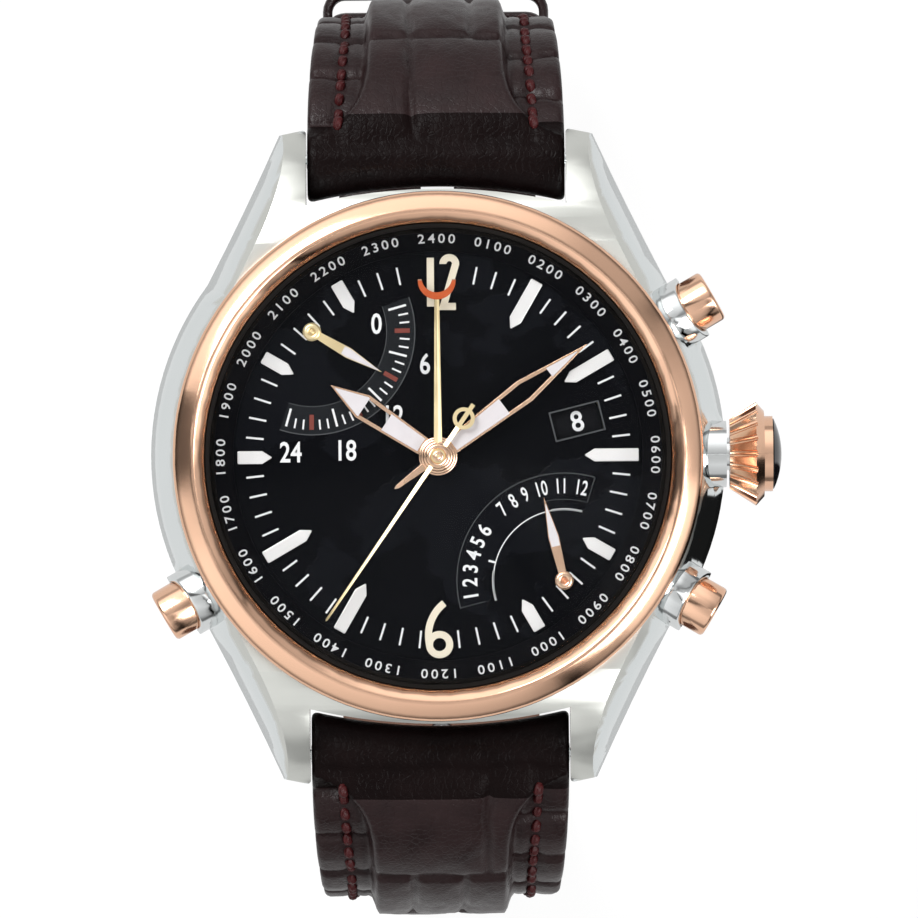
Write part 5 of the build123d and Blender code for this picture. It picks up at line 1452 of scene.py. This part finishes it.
def choose(tree, path, ray, other, shader):
    """Shader for one kind of ray, and another for the rest"""
    choice = add(tree, "MixShader")
    link(tree, path, ray, choice, "Fac")
    tree.links.new(other.outputs[0], choice.inputs[1])
    tree.links.new(shader.outputs[0], choice.inputs[2])
    return choice


def mirrored_studio(tree):
    """Brightness of the surroundings in polished metal"""
    direction = add(tree, "TexCoord")
    azimuth, parts = azimuth_of(tree, direction, "Generated")
    total = add(tree, "Value")
    total.outputs[0].default_value = horizon_glow
    for start, end, edge, gain in horizon_bands:
        step = add(tree, "Math", operation="MULTIPLY_ADD")
        link(tree, band_mask(tree, azimuth, start, end, edge), "Value", step, 0)
        step.inputs[1].default_value = gain
        link(tree, total, "Value", step, 2)
        total = step
    low = ranged(tree, parts, "Z", low_share, 1.0, *low_heights)
    high = ranged(tree, parts, "Z", 1.0, high_share, *high_heights)
    slant = add(tree, "VectorMath", operation="DOT_PRODUCT")
    link(tree, direction, "Generated", slant, 0)
    slant.inputs[1].default_value = side_slope
    side = add(tree, "Math", operation="ADD")
    link(tree, slant, "Value", side, 0)
    side.inputs[1].default_value = 1.0
    for factor, output in ((low, "Result"), (high, "Result"), (side, "Value")):
        total = product(tree, total, "Value", factor, output)
    return total


def set_world():
    """Even light, white for the camera, and a studio with dark patches for mirrors"""
    world = bpy.data.worlds.new("studio")
    bpy.context.scene.world = world
    world.use_nodes = True
    tree = world.node_tree
    tree.nodes.clear()
    path = add(tree, "LightPath")
    mirror = add(tree, "Background")
    link(tree, mirrored_studio(tree), "Value", mirror, "Strength")
    plain = add(tree, "Background", {"Color": colour(*white), "Strength": world_light})
    seen = add(tree, "Background", {"Color": colour(*white), "Strength": world_white})
    lit = choose(tree, path, "Is Glossy Ray", plain, mirror)
    choice = choose(tree, path, "Is Camera Ray", lit, seen)
    output = add(tree, "OutputWorld")
    tree.links.new(choice.outputs[0], output.inputs["Surface"])


def mirrored_floor(tree):
    """Floor as metal mirrors it, with a dark patch for the case flank's mirror image"""
    azimuth = azimuth_of(tree, add(tree, "NewGeometry"), "Position")[0]
    dark = band_mask(tree, azimuth, *floor_dark_band)
    level = ranged(tree, dark, "Value", floor_mirror_glow, floor_dark_glow, 0.0, 1.0)
    glow = add(tree, "Emission", {"Color": colour(*white)})
    link(tree, level, "Result", glow, "Strength")
    return glow


def floor_look():
    """White for the camera, with the object's shadow; even in metal; plain to all other light"""
    look = bpy.data.materials.new("floor")
    look.use_nodes = True
    tree = look.node_tree
    tree.nodes.clear()
    path = add(tree, "LightPath")
    glow = add(tree, "Emission", {"Color": colour(*white), "Strength": floor_camera_glow})
    shaded = add(tree, "BsdfDiffuse", {"Color": colour(*floor_shade_colour)})
    seen = add(tree, "AddShader")
    tree.links.new(glow.outputs[0], seen.inputs[0])
    tree.links.new(shaded.outputs[0], seen.inputs[1])
    plain = add(tree, "BsdfDiffuse", {"Color": colour(*floor_colour)})
    lit = choose(tree, path, "Is Glossy Ray", plain, mirrored_floor(tree))
    choice = choose(tree, path, "Is Camera Ray", lit, seen)
    output = add(tree, "OutputMaterial")
    tree.links.new(choice.outputs[0], output.inputs["Surface"])
    return look


def set_floor():
    """Plain white floor that keeps the object's shadow"""
    mesh = bpy.data.meshes.new("floor")
    reach = floor_half * unit
    corners = [(x * reach, y * reach, floor_height * unit) for x, y in ((-1, -1), (1, -1), (1, 1), (-1, 1))]
    mesh.from_pydata(corners, [], [(0, 1, 2, 3)])
    mesh.materials.append(floor_look())
    floor = bpy.data.objects.new("floor", mesh)
    bpy.context.scene.collection.objects.link(floor)


set_camera()
set_world()
set_floor()
for name, row in lamps.items():
    lamp(name, *row)
bpy.context.scene.view_settings.view_transform = "Standard"
